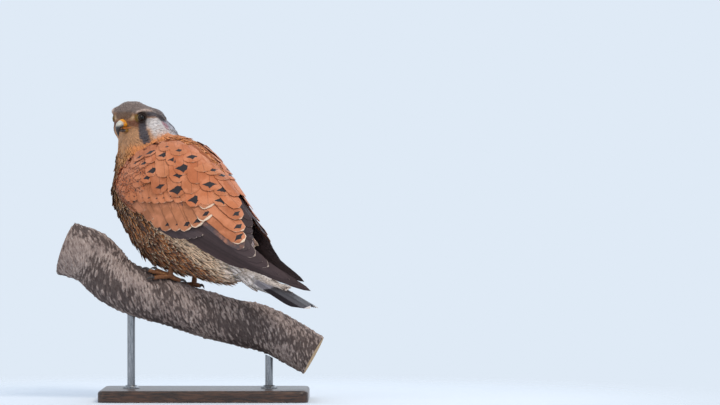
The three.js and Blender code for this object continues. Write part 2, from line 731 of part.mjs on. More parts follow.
// The stand: a flat base with softened edges and two rods up to the branch.
const BASE_LENGTH = 214;
const BASE_WIDTH = 120;
const BASE_HEIGHT = 12;
const BASE_CORNER = 8;
const BASE_BEVEL = 1.2;
const ROD_RADIUS = 4;
const ROD_TOP = 140;
const RODS = { left: -76, right: 66 };
function stadium(length, width, corner) {
  const shape = new THREE.Shape();
  const x = length / 2 - corner;
  const y = width / 2 - corner;
  shape.absarc(x, y, corner, 0, Math.PI / 2);
  shape.absarc(-x, y, corner, Math.PI / 2, Math.PI);
  shape.absarc(-x, -y, corner, Math.PI, 1.5 * Math.PI);
  shape.absarc(x, -y, corner, 1.5 * Math.PI, 2 * Math.PI);
  return shape;
}
const outline = stadium(BASE_LENGTH - 2 * BASE_BEVEL, BASE_WIDTH - 2 * BASE_BEVEL, BASE_CORNER);
const slab = new THREE.ExtrudeGeometry(outline, {
  depth: BASE_HEIGHT - 2 * BASE_BEVEL,
  bevelThickness: BASE_BEVEL,
  bevelSize: BASE_BEVEL,
  bevelSegments: 1,
  curveSegments: 4,
});
slab.translate(0, 0, BASE_BEVEL);
place(object, "stand_base", solidOf(slab), "base", 0.35);
for (const [side, x] of Object.entries(RODS)) {
  const bottom = BASE_HEIGHT + GAP;
  const rod = new THREE.CylinderGeometry(ROD_RADIUS, ROD_RADIUS, ROD_TOP - bottom, 20);
  rod.rotateX(Math.PI / 2);
  rod.translate(x, 0, (ROD_TOP + bottom) / 2);
  const parts = solidOf(rod).subtract(roundBranch).decompose();
  const lowest = parts.reduce((a, b) => (b.boundingBox().min[2] < a.boundingBox().min[2] ? b : a));
  place(object, "stand_rod_" + side, lowest, "steel", 0.3, 0.9);
}

export default object;
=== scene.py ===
# A life-size male common kestrel on a cut length of branch, held over a display base: its looks.
# Sizes are in millimetres of the real thing, and become metres where a mesh is made.
import math

import bmesh
import bpy
import numpy as np
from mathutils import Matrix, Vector, noise


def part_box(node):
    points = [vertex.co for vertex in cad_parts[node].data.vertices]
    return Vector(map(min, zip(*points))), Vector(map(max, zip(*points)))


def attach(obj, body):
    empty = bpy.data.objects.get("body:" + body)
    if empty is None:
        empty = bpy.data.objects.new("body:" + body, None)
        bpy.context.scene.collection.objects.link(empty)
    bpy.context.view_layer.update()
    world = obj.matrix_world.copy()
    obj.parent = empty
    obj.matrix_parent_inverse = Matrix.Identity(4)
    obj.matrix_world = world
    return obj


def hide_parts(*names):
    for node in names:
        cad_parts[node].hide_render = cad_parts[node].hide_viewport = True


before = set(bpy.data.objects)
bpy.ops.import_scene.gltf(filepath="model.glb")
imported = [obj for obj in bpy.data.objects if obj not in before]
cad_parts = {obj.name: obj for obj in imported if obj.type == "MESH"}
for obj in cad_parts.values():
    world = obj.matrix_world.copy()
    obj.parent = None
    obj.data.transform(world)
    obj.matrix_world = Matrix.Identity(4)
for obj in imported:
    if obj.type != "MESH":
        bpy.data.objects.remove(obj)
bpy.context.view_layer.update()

# Camera, light and floor
# The bird stands left of the middle of a wide picture, seen level with its breast from four metres.
# Soft light comes from a pale sky, with a warm lamp high on the left and a cooler one on the right.
MM = 0.001
PHOTO_WIDE = 720
PHOTO_HIGH = 405
MM_PER_PIXEL = 1.03
ORIGIN_PIXEL = (205, 400)
CAMERA_AWAY = 4000
SENSOR = 36


def place_camera():
    data = bpy.data.cameras.new("camera")
    data.sensor_width = SENSOR
    data.lens = SENSOR * CAMERA_AWAY / (PHOTO_WIDE * MM_PER_PIXEL)
    data.clip_end = 40
    camera = bpy.data.objects.new("camera", data)
    aside = (PHOTO_WIDE / 2 - ORIGIN_PIXEL[0]) * MM_PER_PIXEL
    above = (ORIGIN_PIXEL[1] - PHOTO_HIGH / 2) * MM_PER_PIXEL
    camera.location = Vector((aside, -CAMERA_AWAY, above)) * MM
    camera.rotation_euler = (math.radians(90), 0, 0)
    bpy.context.collection.objects.link(camera)
    bpy.context.scene.camera = camera


def paint(red, green, blue):
    """A colour by its screen values from 0 to 255, as the shader's linear one."""
    parts = [c / 255 for c in (red, green, blue)]
    return tuple(c / 12.92 if c < 0.04 else ((c + 0.055) / 1.055) ** 2.4 for c in parts) + (1,)


def socket(sockets, name):
    """The socket of that name that is in use, or the one at that number."""
    if isinstance(name, int):
        return sockets[name]
    return next(s for s in sockets if s.name == name and s.enabled)


def add(tree, kind, inputs=None, **settings):
    """A new node, its settings, and what each of its inputs holds or is wired to."""
    node = tree.nodes.new(kind)
    for name, value in settings.items():
        setattr(node, name, value)
    for name, value in (inputs or {}).items():
        target = socket(node.inputs, name)
        if isinstance(value, bpy.types.NodeSocket):
            tree.links.new(value, target)
        else:
            target.default_value = value
    return node


SKY = paint(223, 234, 246)
SKY_BELOW = paint(204, 190, 172)  # lights the object from below, while the camera sees the sky's own colour
SKY_TURNS = (-0.35, -0.06)  # heights of a direction between which the lower colour gives way to the sky's


def paint_sky():
    world = bpy.data.worlds.new("sky")
    world.use_nodes = True
    tree = world.node_tree
    place = add(tree, "ShaderNodeTexCoord")
    height = add(tree, "ShaderNodeSeparateXYZ", {0: place.outputs["Generated"]})
    upward = {"Value": height.outputs["Z"], "From Min": SKY_TURNS[0], "From Max": SKY_TURNS[1]}
    part = add(tree, "ShaderNodeMapRange", upward, interpolation_type="SMOOTHSTEP")
    seen = add(tree, "ShaderNodeLightPath").outputs["Is Camera Ray"]
    pale = add(tree, "ShaderNodeMath", {0: part.outputs[0], 1: seen}, operation="MAXIMUM")
    blend = {"Factor": pale.outputs[0], "A": SKY_BELOW, "B": SKY}
    colour = add(tree, "ShaderNodeMix", blend, data_type="RGBA")
    background = tree.nodes["Background"]
    tree.links.new(socket(colour.outputs, "Result"), background.inputs["Color"])
    background.inputs["Strength"].default_value = 1
    bpy.context.scene.world = world


LAMPS = {
    "key_lamp": {"at": (1.3, -2.1, 2.7), "size": 1.2, "watts": 52, "colour": paint(255, 244, 228)},
    "fill_lamp": {"at": (-2.4, -1.8, 1.2), "size": 2.0, "watts": 10, "colour": paint(255, 246, 236)},
    "back_lamp": {"at": (0.6, 2.4, 2.0), "size": 1.6, "watts": 16, "colour": paint(240, 246, 255)},
}
LAMPS_LOOK_AT = Vector((0, 0, 0.19))


def hang_lamps():
    for name, lamp in LAMPS.items():
        data = bpy.data.lights.new(name, "AREA")
        data.size = lamp["size"]
        data.energy = lamp["watts"]
        data.color = lamp["colour"][:3]
        light = bpy.data.objects.new(name, data)
        light.location = lamp["at"]
        light.rotation_euler = (LAMPS_LOOK_AT - light.location).to_track_quat("-Z", "Y").to_euler()
        bpy.context.collection.objects.link(light)


FLOOR_RADIUS = 620
FLOOR_CLEAR = 260  # where it starts to fade into the backdrop
FLOOR_SIDES = 96
FLOOR_PALE = paint(222, 228, 236)


def lay_floor():
    rounds = np.linspace(0, 2 * math.pi, FLOOR_SIDES, endpoint=False)
    rim = [(FLOOR_RADIUS * MM * math.cos(a), FLOOR_RADIUS * MM * math.sin(a), 0) for a in rounds]
    mesh = bpy.data.meshes.new("floor")
    mesh.from_pydata(rim, [], [list(range(FLOOR_SIDES))])
    material = bpy.data.materials.new("pale_floor")
    material.use_nodes = True
    tree = material.node_tree
    shader = tree.nodes["Principled BSDF"]
    shader.inputs["Roughness"].default_value = 0.9
    shader.inputs["Specular IOR Level"].default_value = 0.1
    shader.inputs["Base Color"].default_value = FLOOR_PALE
    place = add(tree, "ShaderNodeTexCoord").outputs["Object"]
    away = add(tree, "ShaderNodeVectorMath", {0: place}, operation="LENGTH").outputs["Value"]
    fades = {"Value": away, "From Min": FLOOR_RADIUS * MM, "From Max": FLOOR_CLEAR * MM}
    shown = add(tree, "ShaderNodeMapRange", fades, interpolation_type="SMOOTHSTEP").outputs[0]
    tree.links.new(shown, shader.inputs["Alpha"])
    mesh.materials.append(material)
    floor = bpy.data.objects.new("floor", mesh)
    bpy.context.collection.objects.link(floor)


place_camera()
paint_sky()
hang_lamps()
lay_floor()
bpy.context.scene.view_settings.view_transform = "Standard"

# The stand's base
# A slab of dark stained hardwood, 12 mm thick, with its upper edge rounded over and its corners eased.
# The grain runs along the slab, and two coats of satin varnish leave it softly glossy.
BASE_CORNER = 8
BASE_ROUND = 3.2
BASE_FOOT = 0.8  # how far the lower edge is eased
CORNER_STEPS = 8
ROUND_STEPS = 6
HARDWOOD_DARK = paint(38, 26, 20)
HARDWOOD_PALE = paint(84, 56, 40)
HARDWOOD_PORES = paint(22, 15, 12)


def material_named(name, roughness, specular=0.5):
    """A material with its tree and shader, at a roughness and a gloss that are the same all over."""
    material = bpy.data.materials.new(name)
    material.use_nodes = True
    shader = material.node_tree.nodes["Principled BSDF"]
    shader.inputs["Roughness"].default_value = roughness
    shader.inputs["Specular IOR Level"].default_value = specular
    return material, material.node_tree, shader


def object_place(tree, stretch=(1, 1, 1), at=(0, 0, 0), turn=(0, 0, 0)):
    """The place on the piece in millimetres, moved, turned and stretched for a pattern."""
    place = add(tree, "ShaderNodeTexCoord")
    inputs = {"Vector": place.outputs["Object"], "Location": at, "Rotation": turn}
    inputs["Scale"] = tuple(1000 * s for s in stretch)
    return add(tree, "ShaderNodeMapping", inputs).outputs[0]


def cloudy(tree, vector, scale, detail=3, roughness=0.55, distortion=0):
    """A cloudy value from 0 to 1, with so many clouds to a millimetre and so many finer ones within them."""
    inputs = {"Vector": vector, "Scale": scale, "Detail": detail}
    inputs.update({"Roughness": roughness, "Distortion": distortion})
    return add(tree, "ShaderNodeTexNoise", inputs).outputs[0]


def step(tree, value, low, high, start=0, end=1):
    """From start to end as a value goes from low to high, softly."""
    inputs = {"Value": value, "From Min": low, "From Max": high, "To Min": start, "To Max": end}
    return add(tree, "ShaderNodeMapRange", inputs, interpolation_type="SMOOTHSTEP").outputs[0]


def blend(tree, factor, first, second, kind="MIX"):
    inputs = {"Factor": factor, "A": first, "B": second}
    node = add(tree, "ShaderNodeMix", inputs, data_type="RGBA", blend_type=kind)
    return socket(node.outputs, "Result")


def reckon(tree, operation, first, second=0, third=None):
    """The result of one sum with sockets or numbers."""
    inputs = {0: first, 1: second}
    if third is not None:
        inputs[2] = third
    return add(tree, "ShaderNodeMath", inputs, operation=operation).outputs[0]


def roughen(tree, shader, height, depth, strength=1):
    """Wires a height from 0 to 1 into the shader's normal, as a relief so many millimetres deep."""
    inputs = {"Height": height, "Distance": depth * MM, "Strength": strength}
    relief = add(tree, "ShaderNodeBump", inputs)
    tree.links.new(relief.outputs[0], shader.inputs["Normal"])


def wood_finish():
    material, tree, shader = material_named("dark_hardwood", 0.3)
    place = object_place(tree, stretch=(0.12, 1, 1))
    grain = cloudy(tree, place, 0.35, 6, 0.6, 1.2)
    pores = cloudy(tree, object_place(tree, stretch=(0.05, 1.4, 1.4)), 1.1, 2)
    colour = blend(tree, step(tree, grain, 0.35, 0.68), HARDWOOD_DARK, HARDWOOD_PALE)
    colour = blend(tree, step(tree, pores, 0.58, 0.7, 0, 0.6), colour, HARDWOOD_PORES)
    tree.links.new(colour, shader.inputs["Base Color"])
    tree.links.new(step(tree, grain, 0.3, 0.7, 0.26, 0.36), shader.inputs["Roughness"])
    roughen(tree, shader, pores, 0.06, 0.5)
    return material


def new_piece(name, points, faces, material):
    """A mesh piece from points in millimetres of the shared frame, with faces turned outward."""
    points = np.asarray(points, float)
    mesh = bpy.data.meshes.new(name)
    mesh.from_pydata((points * MM).tolist(), [], faces)
    shell = bmesh.new()
    shell.from_mesh(mesh)
    bmesh.ops.recalc_face_normals(shell, faces=shell.faces[:])
    shell.to_mesh(mesh)
    shell.free()
    mesh.materials.append(material)
    mesh.shade_smooth()
    piece = bpy.data.objects.new(name, mesh)
    bpy.context.collection.objects.link(piece)
    return piece


def rounded_corners(half_x, half_y, corner):
    """A rectangle's outline with round corners, counterclockwise."""
    outline = []
    for quarter, (x, y) in enumerate([(1, 1), (-1, 1), (-1, -1), (1, -1)]):
        for i in range(CORNER_STEPS + 1):
            turn = (quarter + i / CORNER_STEPS) * math.pi / 2
            across = x * (half_x - corner) + corner * math.cos(turn)
            outline.append((across, y * (half_y - corner) + corner * math.sin(turn)))
    return outline


def ring_faces(count, size, round_again=False):
    """Faces between neighbouring rings, and from the last to the first where they go round again."""
    faces = []
    for i in range(count if round_again else count - 1):
        n = (i + 1) % count
        for j in range(size):
            k = (j + 1) % size
            faces.append((i * size + j, i * size + k, n * size + k, n * size + j))
    return faces


def stacked_rings(rings):
    """Points and faces of a stack of equal closed rings, from the bottom up and counterclockwise."""
    size = len(rings[0])
    points = [p for ring in rings for p in ring]
    last = (len(rings) - 1) * size
    ends = [tuple(range(size - 1, -1, -1)), tuple(range(last, last + size))]
    return points, ring_faces(len(rings), size) + ends


def make_base():
    _, high = (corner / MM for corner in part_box("stand_base"))
    half_x, half_y, top = high.x, high.y, high.z
    rings = []
    levels = [(BASE_FOOT, 0), (0, BASE_FOOT)]
    for i in range(ROUND_STEPS + 1):
        turn = i / ROUND_STEPS * math.pi / 2
        levels.append((BASE_ROUND * (1 - math.cos(turn)), top - BASE_ROUND * (1 - math.sin(turn))))
    for inset, z in levels:
        outline = rounded_corners(half_x - inset, half_y - inset, BASE_CORNER - inset)
        rings.append([(x, y, z) for x, y in outline])
    points, faces = stacked_rings(rings)
    base = new_piece("base_slab", points, faces, wood_finish())
    base.data.set_sharp_from_angle(angle=math.radians(40))
    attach(base, "root")
    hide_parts("stand_base")


make_base()

# The stand's rods
# Two short rods of brushed steel, 8 mm thick, stand in the base and run up into the branch.
# Each passes through a turned steel collar that is screwed down on the wood.
COLLAR_RADIUS = 8.5
COLLAR_HIGH = 3.4
COLLAR_BORE = 0.08  # how much wider than the rod
COLLAR_SEAT = 0.25  # how far below the rod's end it sits
TURNED_SIDES = 48
STEEL_DARK = paint(120, 122, 126)
STEEL_PALE = paint(168, 170, 173)


def steel_finish():
    material, tree, shader = material_named("brushed_steel", 0.3)
    shader.inputs["Metallic"].default_value = 1
    brushed = cloudy(tree, object_place(tree, stretch=(1, 1, 0.04)), 3, 3)
    colour = blend(tree, step(tree, brushed, 0.3, 0.7), STEEL_DARK, STEEL_PALE)
    tree.links.new(colour, shader.inputs["Base Color"])
    tree.links.new(step(tree, brushed, 0.3, 0.7, 0.24, 0.4), shader.inputs["Roughness"])
    roughen(tree, shader, brushed, 0.02, 0.4)
    return material


steel = steel_finish()


def turned(profile, middle):
    """Points of a turned piece round an upright axis, ring by ring, from (radius, height) pairs."""
    points = []
    rounds = np.linspace(0, 2 * math.pi, TURNED_SIDES, endpoint=False)
    for radius, z in profile:
        points += [(middle.x + radius * math.cos(a), middle.y + radius * math.sin(a), z) for a in rounds]
    return points


def make_rods():
    for side in ("left", "right"):
        node = "stand_rod_" + side
        low, high = (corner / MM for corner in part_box(node))
        middle = (low + high) / 2
        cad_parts[node].data.materials.clear()
        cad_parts[node].data.materials.append(steel)
        radius = (high.x - low.x) / 2
        floor = low.z - COLLAR_SEAT
        profile = [  # up the flange and the neck, then down the bore
            (COLLAR_RADIUS, floor),
            (COLLAR_RADIUS, floor + 1.2),
            (COLLAR_RADIUS - 0.4, floor + 1.6),
            (radius + 2.6, floor + 1.9),
            (radius + 1.9, floor + COLLAR_HIGH - 0.4),
            (radius + 1.5, floor + COLLAR_HIGH),
            (radius + COLLAR_BORE, floor + COLLAR_HIGH),
            (radius + COLLAR_BORE, floor),
        ]
        faces = ring_faces(len(profile), TURNED_SIDES, round_again=True)
        collar = new_piece("rod_collar_" + side, turned(profile, middle), faces, steel)
        collar.data.set_sharp_from_angle(angle=math.radians(35))
        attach(collar, "root")


make_rods()

# The perch
# A sawn length of an old conifer's branch, about 50 mm thick, with its bark left on.
# The bark is grey-brown, cracked into short scales along the grain, with painted highlights in bright flecks.
BRANCH_LINE = [
    (-143, 5, 156),
    (-118, 2, 147),
    (-91, -1, 122),
    (-33, 0, 99),
    (24, 2, 82),
    (66, 1, 71),
    (112, -3, 46),
]
BRANCH_RADII = [29.5, 27, 24.5, 24.8, 22.5]
BRANCH_RINGS = 380
BRANCH_SIDES = 176
BARK_SINKS = 0.9  # how far the bark's mean surface lies inside the solid's
LINE_STEPS = 40


def unit(vectors):
    return vectors / np.linalg.norm(vectors, axis=1)[:, None]


def catmull_point(line, i, t):
    """Centripetal Catmull-Rom, as the solid's line is drawn."""
    last = len(line) - 1
    p1, p2 = line[i], line[i + 1]
    p0 = line[i - 1] if i > 0 else 2 * p1 - p2
    p3 = line[i + 2] if i + 2 <= last else 2 * p2 - p1
    d0, d1, d2 = (math.sqrt(np.linalg.norm(b - a)) for a, b in ((p0, p1), (p1, p2), (p2, p3)))
    m1 = ((p1 - p0) / d0 - (p2 - p0) / (d0 + d1) + (p2 - p1) / d1) * d1
    m2 = ((p2 - p1) / d1 - (p3 - p1) / (d1 + d2) + (p3 - p2) / d2) * d1
    a = 2 * p1 - 2 * p2 + m1 + m2
    b = -3 * p1 + 3 * p2 - 2 * m1 - m2
    return ((a * t + b) * t + m1) * t + p1


def even_line(points, count):
    """Points at even steps along the smooth line through the given ones, and its directions there."""
    line = [np.array(p, float) for p in points]
    shares = np.arange(LINE_STEPS) / LINE_STEPS
    fine = [catmull_point(line, i, t) for i in range(len(line) - 1) for t in shares]
    fine = np.array(fine + [line[-1]])
    run = np.concatenate([[0], np.cumsum(np.linalg.norm(np.diff(fine, axis=0), axis=1))])
    at = np.linspace(0, run[-1], count)
    places = np.stack([np.interp(at, run, fine[:, k]) for k in range(3)], axis=1)
    return places, unit(np.gradient(places, axis=0))


def value_between(values, t):
    """Values that stand at even steps, read at a share of the way along them."""
    return np.interp(np.asarray(t) * (len(values) - 1), np.arange(len(values)), values)


branch_places, branch_along = even_line(BRANCH_LINE, BRANCH_RINGS + 1)


def across_branch(along):
    """The directions to the branch's near side (-Y) and to its top, square to its line."""
    near = np.array([0, -1, 0]) + along * along[1]
    near /= np.linalg.norm(near)
    return near, np.cross(near, along)


def branch_round(i, turn, radius):
    """A point round the branch: turned from the near side towards the top, so far out."""
    near, up = across_branch(branch_along[i])
    return branch_places[i] + radius * (math.cos(turn) * near + math.sin(turn) * up)


BARK_TWIST = 0.05  # radians that the bark's grain winds round in each millimetre
SWELL_LONG = 38
SWELL_DEEP = 1.1
PLATE_LONG = 7
PLATE_DEEP = 0.85
FLAKE_LONG = 3.6
FLAKE_DEEP = 0.9
BARK_MEAN = 0.75


def bark_height(run, turn):
    """How far the bark stands out, in millimetres: long swells, plates along the grain, and cracks."""
    swell = noise.noise(Vector((run / SWELL_LONG, 1.3 * math.cos(turn), 1.3 * math.sin(turn))))
    wound = turn + BARK_TWIST * run
    y, z = math.cos(wound), math.sin(wound)
    plates = noise.noise(Vector((run / PLATE_LONG, y * 5.2, z * 5.2)), noise_basis="VORONOI_F2F1")
    flakes = noise.turbulence(Vector((run / FLAKE_LONG, y * 9, z * 9)), 4, False)
    cracks = min(1, max(0, 0.5 + plates) * 2.2)
    return SWELL_DEEP * swell + PLATE_DEEP * cracks + FLAKE_DEEP * flakes - BARK_MEAN


BARK_DARK = paint(104, 86, 80)
BARK_PALE = paint(178, 160, 152)
BARK_PATCH = paint(120, 104, 100)
FLECK_HIGHLIGHT = paint(198, 186, 180)
FLECK_HIGHLIGHT_CORE = paint(216, 208, 200)
CRACK_PAINTED_SHADE = paint(58, 47, 46)


def kept(tree, name, output="Fac"):
    """What is stored on the mesh under that name."""
    return add(tree, "ShaderNodeAttribute", attribute_name=name).outputs[output]


def bark_finish():
    material, tree, shader = material_named("conifer_bark", 0.88, 0.25)
    along = kept(tree, "grain", "Vector")
    flakes = cloudy(tree, along, 0.7, 6, 0.68, 0.9)
    fine = cloudy(tree, along, 1.3, 4, 0.6, 0.4)
    patches = cloudy(tree, object_place(tree), 0.04, 3)
    colour = blend(tree, step(tree, flakes, 0.34, 0.62), BARK_DARK, BARK_PALE)
    colour = blend(tree, step(tree, patches, 0.42, 0.62, 0, 0.4), colour, BARK_PATCH)
    # Bright flecks with whiter cores over the bark: painted highlights.
    colour = blend(tree, step(tree, fine, 0.58, 0.68, 0, 0.75), colour, FLECK_HIGHLIGHT)
    colour = blend(tree, step(tree, fine, 0.68, 0.75, 0, 0.7), colour, FLECK_HIGHLIGHT_CORE)
    # The deepest cracks are painted dark: painted shade in the bark's hollows.
    shaded_hollow = step(tree, kept(tree, "crack"), 0.06, 0.36, 0.8, 0)
    colour = blend(tree, shaded_hollow, colour, CRACK_PAINTED_SHADE)
    tree.links.new(colour, shader.inputs["Base Color"])
    roughen(tree, shader, reckon(tree, "ADD", flakes, fine), 0.7, 0.8)
    return material


WOOD_EARLY = paint(196, 164, 122)
WOOD_LATE = paint(146, 108, 72)
WOOD_SAWN = paint(168, 138, 100)
INNER_BARK = paint(70, 54, 46)
YEARS = 62  # radians of the years' rings from the middle to the bark


def end_grain_finish():
    material, tree, shader = material_named("sawn_end", 0.75, 0.3)
    out = kept(tree, "crack")
    wobble = cloudy(tree, object_place(tree), 0.12, 3)
    grown = reckon(tree, "MULTIPLY_ADD", out, YEARS, reckon(tree, "MULTIPLY", wobble, 7))
    year = reckon(tree, "SINE", grown)
    colour = blend(tree, step(tree, year, 0.1, 0.95), WOOD_EARLY, WOOD_LATE)
    saw = cloudy(tree, object_place(tree, stretch=(1, 0.2, 1)), 1.2, 3)
    colour = blend(tree, step(tree, saw, 0.5, 0.8, 0, 0.5), colour, WOOD_SAWN)
    colour = blend(tree, step(tree, out, 0.93, 0.97), colour, INNER_BARK)
    tree.links.new(colour, shader.inputs["Base Color"])
    roughen(tree, shader, saw, 0.25, 0.6)
    return material


END_RINGS = 9
CUT_ROUND = 0.6
CUT_EDGE = 0.5  # how wide the eased edge of a cut is
BARK_RELIEF = 2.2  # from the deepest crack to the highest plate
GRAIN_LONG = 2.5  # the grain's own measures, for the bark's colours
GRAIN_WIDE = 1.9


def keep(piece, name, kind, values, domain="POINT"):
    """Stores values on a piece's mesh under a name, for its finish or its coat."""
    attribute = piece.data.attributes.new(name, kind, domain)
    field = {"FLOAT": "value", "FLOAT_VECTOR": "vector", "FLOAT_COLOR": "color"}[kind]
    attribute.data.foreach_set(field, np.ascontiguousarray(values, np.float32).ravel())


def close_end(end, points, heights, faces):
    """Covers a sawn end, from the bark's edge in to the middle, ring by ring."""
    size = BRANCH_SIDES
    rim = list(range(end * size, end * size + size))
    outer = np.array([points[p] for p in rim])
    middle = outer.mean(axis=0)
    for ring in range(1, END_RINGS + 1):
        share = 1 - ring / END_RINGS
        start = len(points)
        if ring == END_RINGS:
            points.append(middle)
            heights.append(0)
            inner = [start] * size
        else:
            points.extend(middle + (outer - middle) * share)
            heights.extend([share] * size)
            inner = list(range(start, start + size))
        for j in range(size):
            k = (j + 1) % size
            quad = (rim[j], rim[k], inner[k], inner[j])
            quad = quad if end else quad[::-1]
            faces.append(tuple(dict.fromkeys(quad)))
        rim = inner


def make_branch():
    points, heights, grain = [], [], []
    run_step = np.linalg.norm(branch_places[1] - branch_places[0])
    for i in range(BRANCH_RINGS + 1):
        run = i * run_step
        mean = float(value_between(BRANCH_RADII, i / BRANCH_RINGS)) - BARK_SINKS
        eased = CUT_ROUND if min(i, BRANCH_RINGS - i) * run_step < CUT_EDGE else 0
        for j in range(BRANCH_SIDES):
            turn = 2 * math.pi * j / BRANCH_SIDES
            height = bark_height(run, turn)
            wound, wide = turn + BARK_TWIST * run, mean / GRAIN_WIDE
            grain.append((run / GRAIN_LONG, wide * math.cos(wound), wide * math.sin(wound)))
            points.append(branch_round(i, turn, mean + height - eased))
            heights.append(min(1, max(0, 0.5 + height / BARK_RELIEF)))
    faces = ring_faces(BRANCH_RINGS + 1, BRANCH_SIDES)
    bark_faces = len(faces)
    for end in (0, BRANCH_RINGS):
        close_end(end, points, heights, faces)
    branch = new_piece("perch", points, faces, bark_finish())
    mesh = branch.data
    mesh.materials.append(end_grain_finish())
    slots = np.zeros(len(faces), np.int32)
    slots[bark_faces:] = 1
    mesh.polygons.foreach_set("material_index", slots)
    keep(branch, "crack", "FLOAT", heights)
    keep(branch, "grain", "FLOAT_VECTOR", grain + [(0, 0, 0)] * (len(points) - len(grain)))
    mesh.set_sharp_from_angle(angle=math.radians(50))
    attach(branch, "root")
    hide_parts("perch_branch")


make_branch()

# The bird's skin
# One skin runs over torso, neck, head and the root of the tail, and lies under the plumage by its depth.
# Its ground colour and the lie and length of the feathers are worked out here, for the coat that grows on it.
TURNED_AWAY = 30  # degrees that the bird faces away from the branch's own line
STANDS_BACK = -12
HEAD_AT = np.array([81, 0, 287.5])
HEAD_YAW = 79
HEAD_PITCH = 2


def turn_about_z(degrees):
    c, s = math.cos(math.radians(degrees)), math.sin(math.radians(degrees))
    return np.array([[c, -s, 0], [s, c, 0], [0, 0, 1]])


def turn_about_y(degrees):
    c, s = math.cos(math.radians(degrees)), math.sin(math.radians(degrees))
    return np.array([[c, 0, s], [0, 1, 0], [-s, 0, c]])


BIRD_TURN = turn_about_z(180 - TURNED_AWAY)
HEAD_TURN = turn_about_z(HEAD_YAW) @ turn_about_y(HEAD_PITCH)
STANDS_AT = np.array([0, STANDS_BACK, 0])


def bird_to_world(points):
    """From the bird's own frame, +X forward, +Y to its left, to the shared one."""
    return np.asarray(points) @ BIRD_TURN.T + STANDS_AT


def world_to_bird(points):
    return (np.asarray(points) - STANDS_AT) @ BIRD_TURN


def head_to_world(points):
    return bird_to_world(np.asarray(points) @ HEAD_TURN.T + HEAD_AT)


def bird_to_head(points):
    return (np.asarray(points) - HEAD_AT) @ HEAD_TURN


# Lobes of flesh: centre, half sizes (long, wide, deep) and pitch in degrees, nose up
BODY_LOBES = [
    ((31, 0, 196), (76, 40, 62), 33.5),
    ((63, 0, 219.5), (38, 38, 44.5), 74),
    ((36, 0, 232), (38, 37, 36.5), 50),
    ((74.5, 0, 261), (28, 27, 35), 45),
    ((-18.5, 0, 160), (37, 25, 38.5), 27),
]
HEAD_LOBES = [
    ((1.5, 0, 3), (24, 25.5, 15.5), 0),
    ((7, 0, 1.5), (13, 17, 17), 0),
    ((-17, 0, -7), (19, 22, 15.5), 0),
    ((5, 13, -7.5), (15.5, 12.5, 12.5), 0),
    ((5, -13, -7.5), (15.5, 12.5, 12.5), 0),
    ((13, 18, 9.5), (9, 4, 2.5), 0),
    ((13, -18, 9.5), (9, 4, 2.5), 0),
]
TAIL_ROOT_LOBES = [((-49, 0, 131.5), (31, 12, 9), 25), ((-62, 0, 128), (27, 11, 4.5), 27)]
TAIL_ROOT_MIDDLE = np.array([-52, 0, 130.5])
BODY_BLEND = 18
HEAD_BLEND = 7
TAIL_ROOT_BLEND = 8
# The folded wing's own frame: a line from the wrist towards the wing tip, and the way up from it
WRIST = np.array([86, 0, 229])
WING_AXIS = np.array([-215.5, 0, -115.7]) / np.linalg.norm([-215.5, 0, -115.7])
WING_UP = np.array([WING_AXIS[2], 0, -WING_AXIS[0]])


def lobe_distance(points, lobe):
    (x, y, z), (long, wide, deep), pitch = lobe
    c, s = math.cos(math.radians(pitch)), math.sin(math.radians(pitch))
    dx, dy, dz = points[..., 0] - x, points[..., 1] - y, points[..., 2] - z
    a, b, d = (dx * c + dz * s) / long, dy / wide, (dz * c - dx * s) / deep
    near = np.sqrt(a * a + b * b + d * d)
    slope = np.sqrt((a / long) ** 2 + (b / wide) ** 2 + (d / deep) ** 2)
    return near * (near - 1) / np.maximum(slope, 1e-6)


def flesh_distance(points, lobes, blended):
    """How far points are outside the flesh of some lobes that run into each other."""
    nearest = None
    for lobe in lobes:
        away = lobe_distance(points, lobe)
        if nearest is None:
            nearest = away
            continue
        share = np.clip(0.5 + 0.5 * (nearest - away) / blended, 0, 1)
        nearest = nearest * (1 - share) + away * share - blended * share * (1 - share)
    return nearest


def smooth(low, high, x):
    """From 0 at low to 1 at high, with a soft start and end. Low may be the larger one."""
    t = np.clip((np.asarray(x, float) - low) / (high - low), 0, 1)
    return t * t * (3 - 2 * t)


SHELL_RINGS = 72
SHELL_SIDES = 96
SHELL_HALVINGS = 18
POLE_OPEN = 0.02  # so that the first and last ring aren't points


def flesh_shell(middle, lobes, blended, grown, far):
    """The flesh of some lobes as a closed skin, found by rays from their middle."""
    rows = []
    rounds = np.linspace(0, 2 * math.pi, SHELL_SIDES, endpoint=False)
    for i in range(SHELL_RINGS + 1):
        polar = math.pi * (i + POLE_OPEN) / (SHELL_RINGS + 2 * POLE_OPEN)
        along = np.full(SHELL_SIDES, -math.cos(polar))
        rays = np.stack([along, math.sin(polar) * np.cos(rounds), math.sin(polar) * np.sin(rounds)], axis=1)
        low, high = np.zeros(SHELL_SIDES), np.full(SHELL_SIDES, far, float)
        for _ in range(SHELL_HALVINGS):
            half = (low + high) / 2
            out = flesh_distance(middle + rays * half[:, None], lobes, blended) > grown
            low, high = np.where(out, low, half), np.where(out, half, high)
        rows.append([tuple(p) for p in middle + rays * low[:, None]])
    return stacked_rings(rows)


SKIN_VOXEL = 1.0
JOIN_GROW = 0.35  # closes the cuts between the nodes
SKIN_SMOOTHING = 24
SMOOTHING_SHARE = 0.6
COAT_DEPTH = {"body": 4.2, "head": 1.5}  # how far the skin lies inside the solids


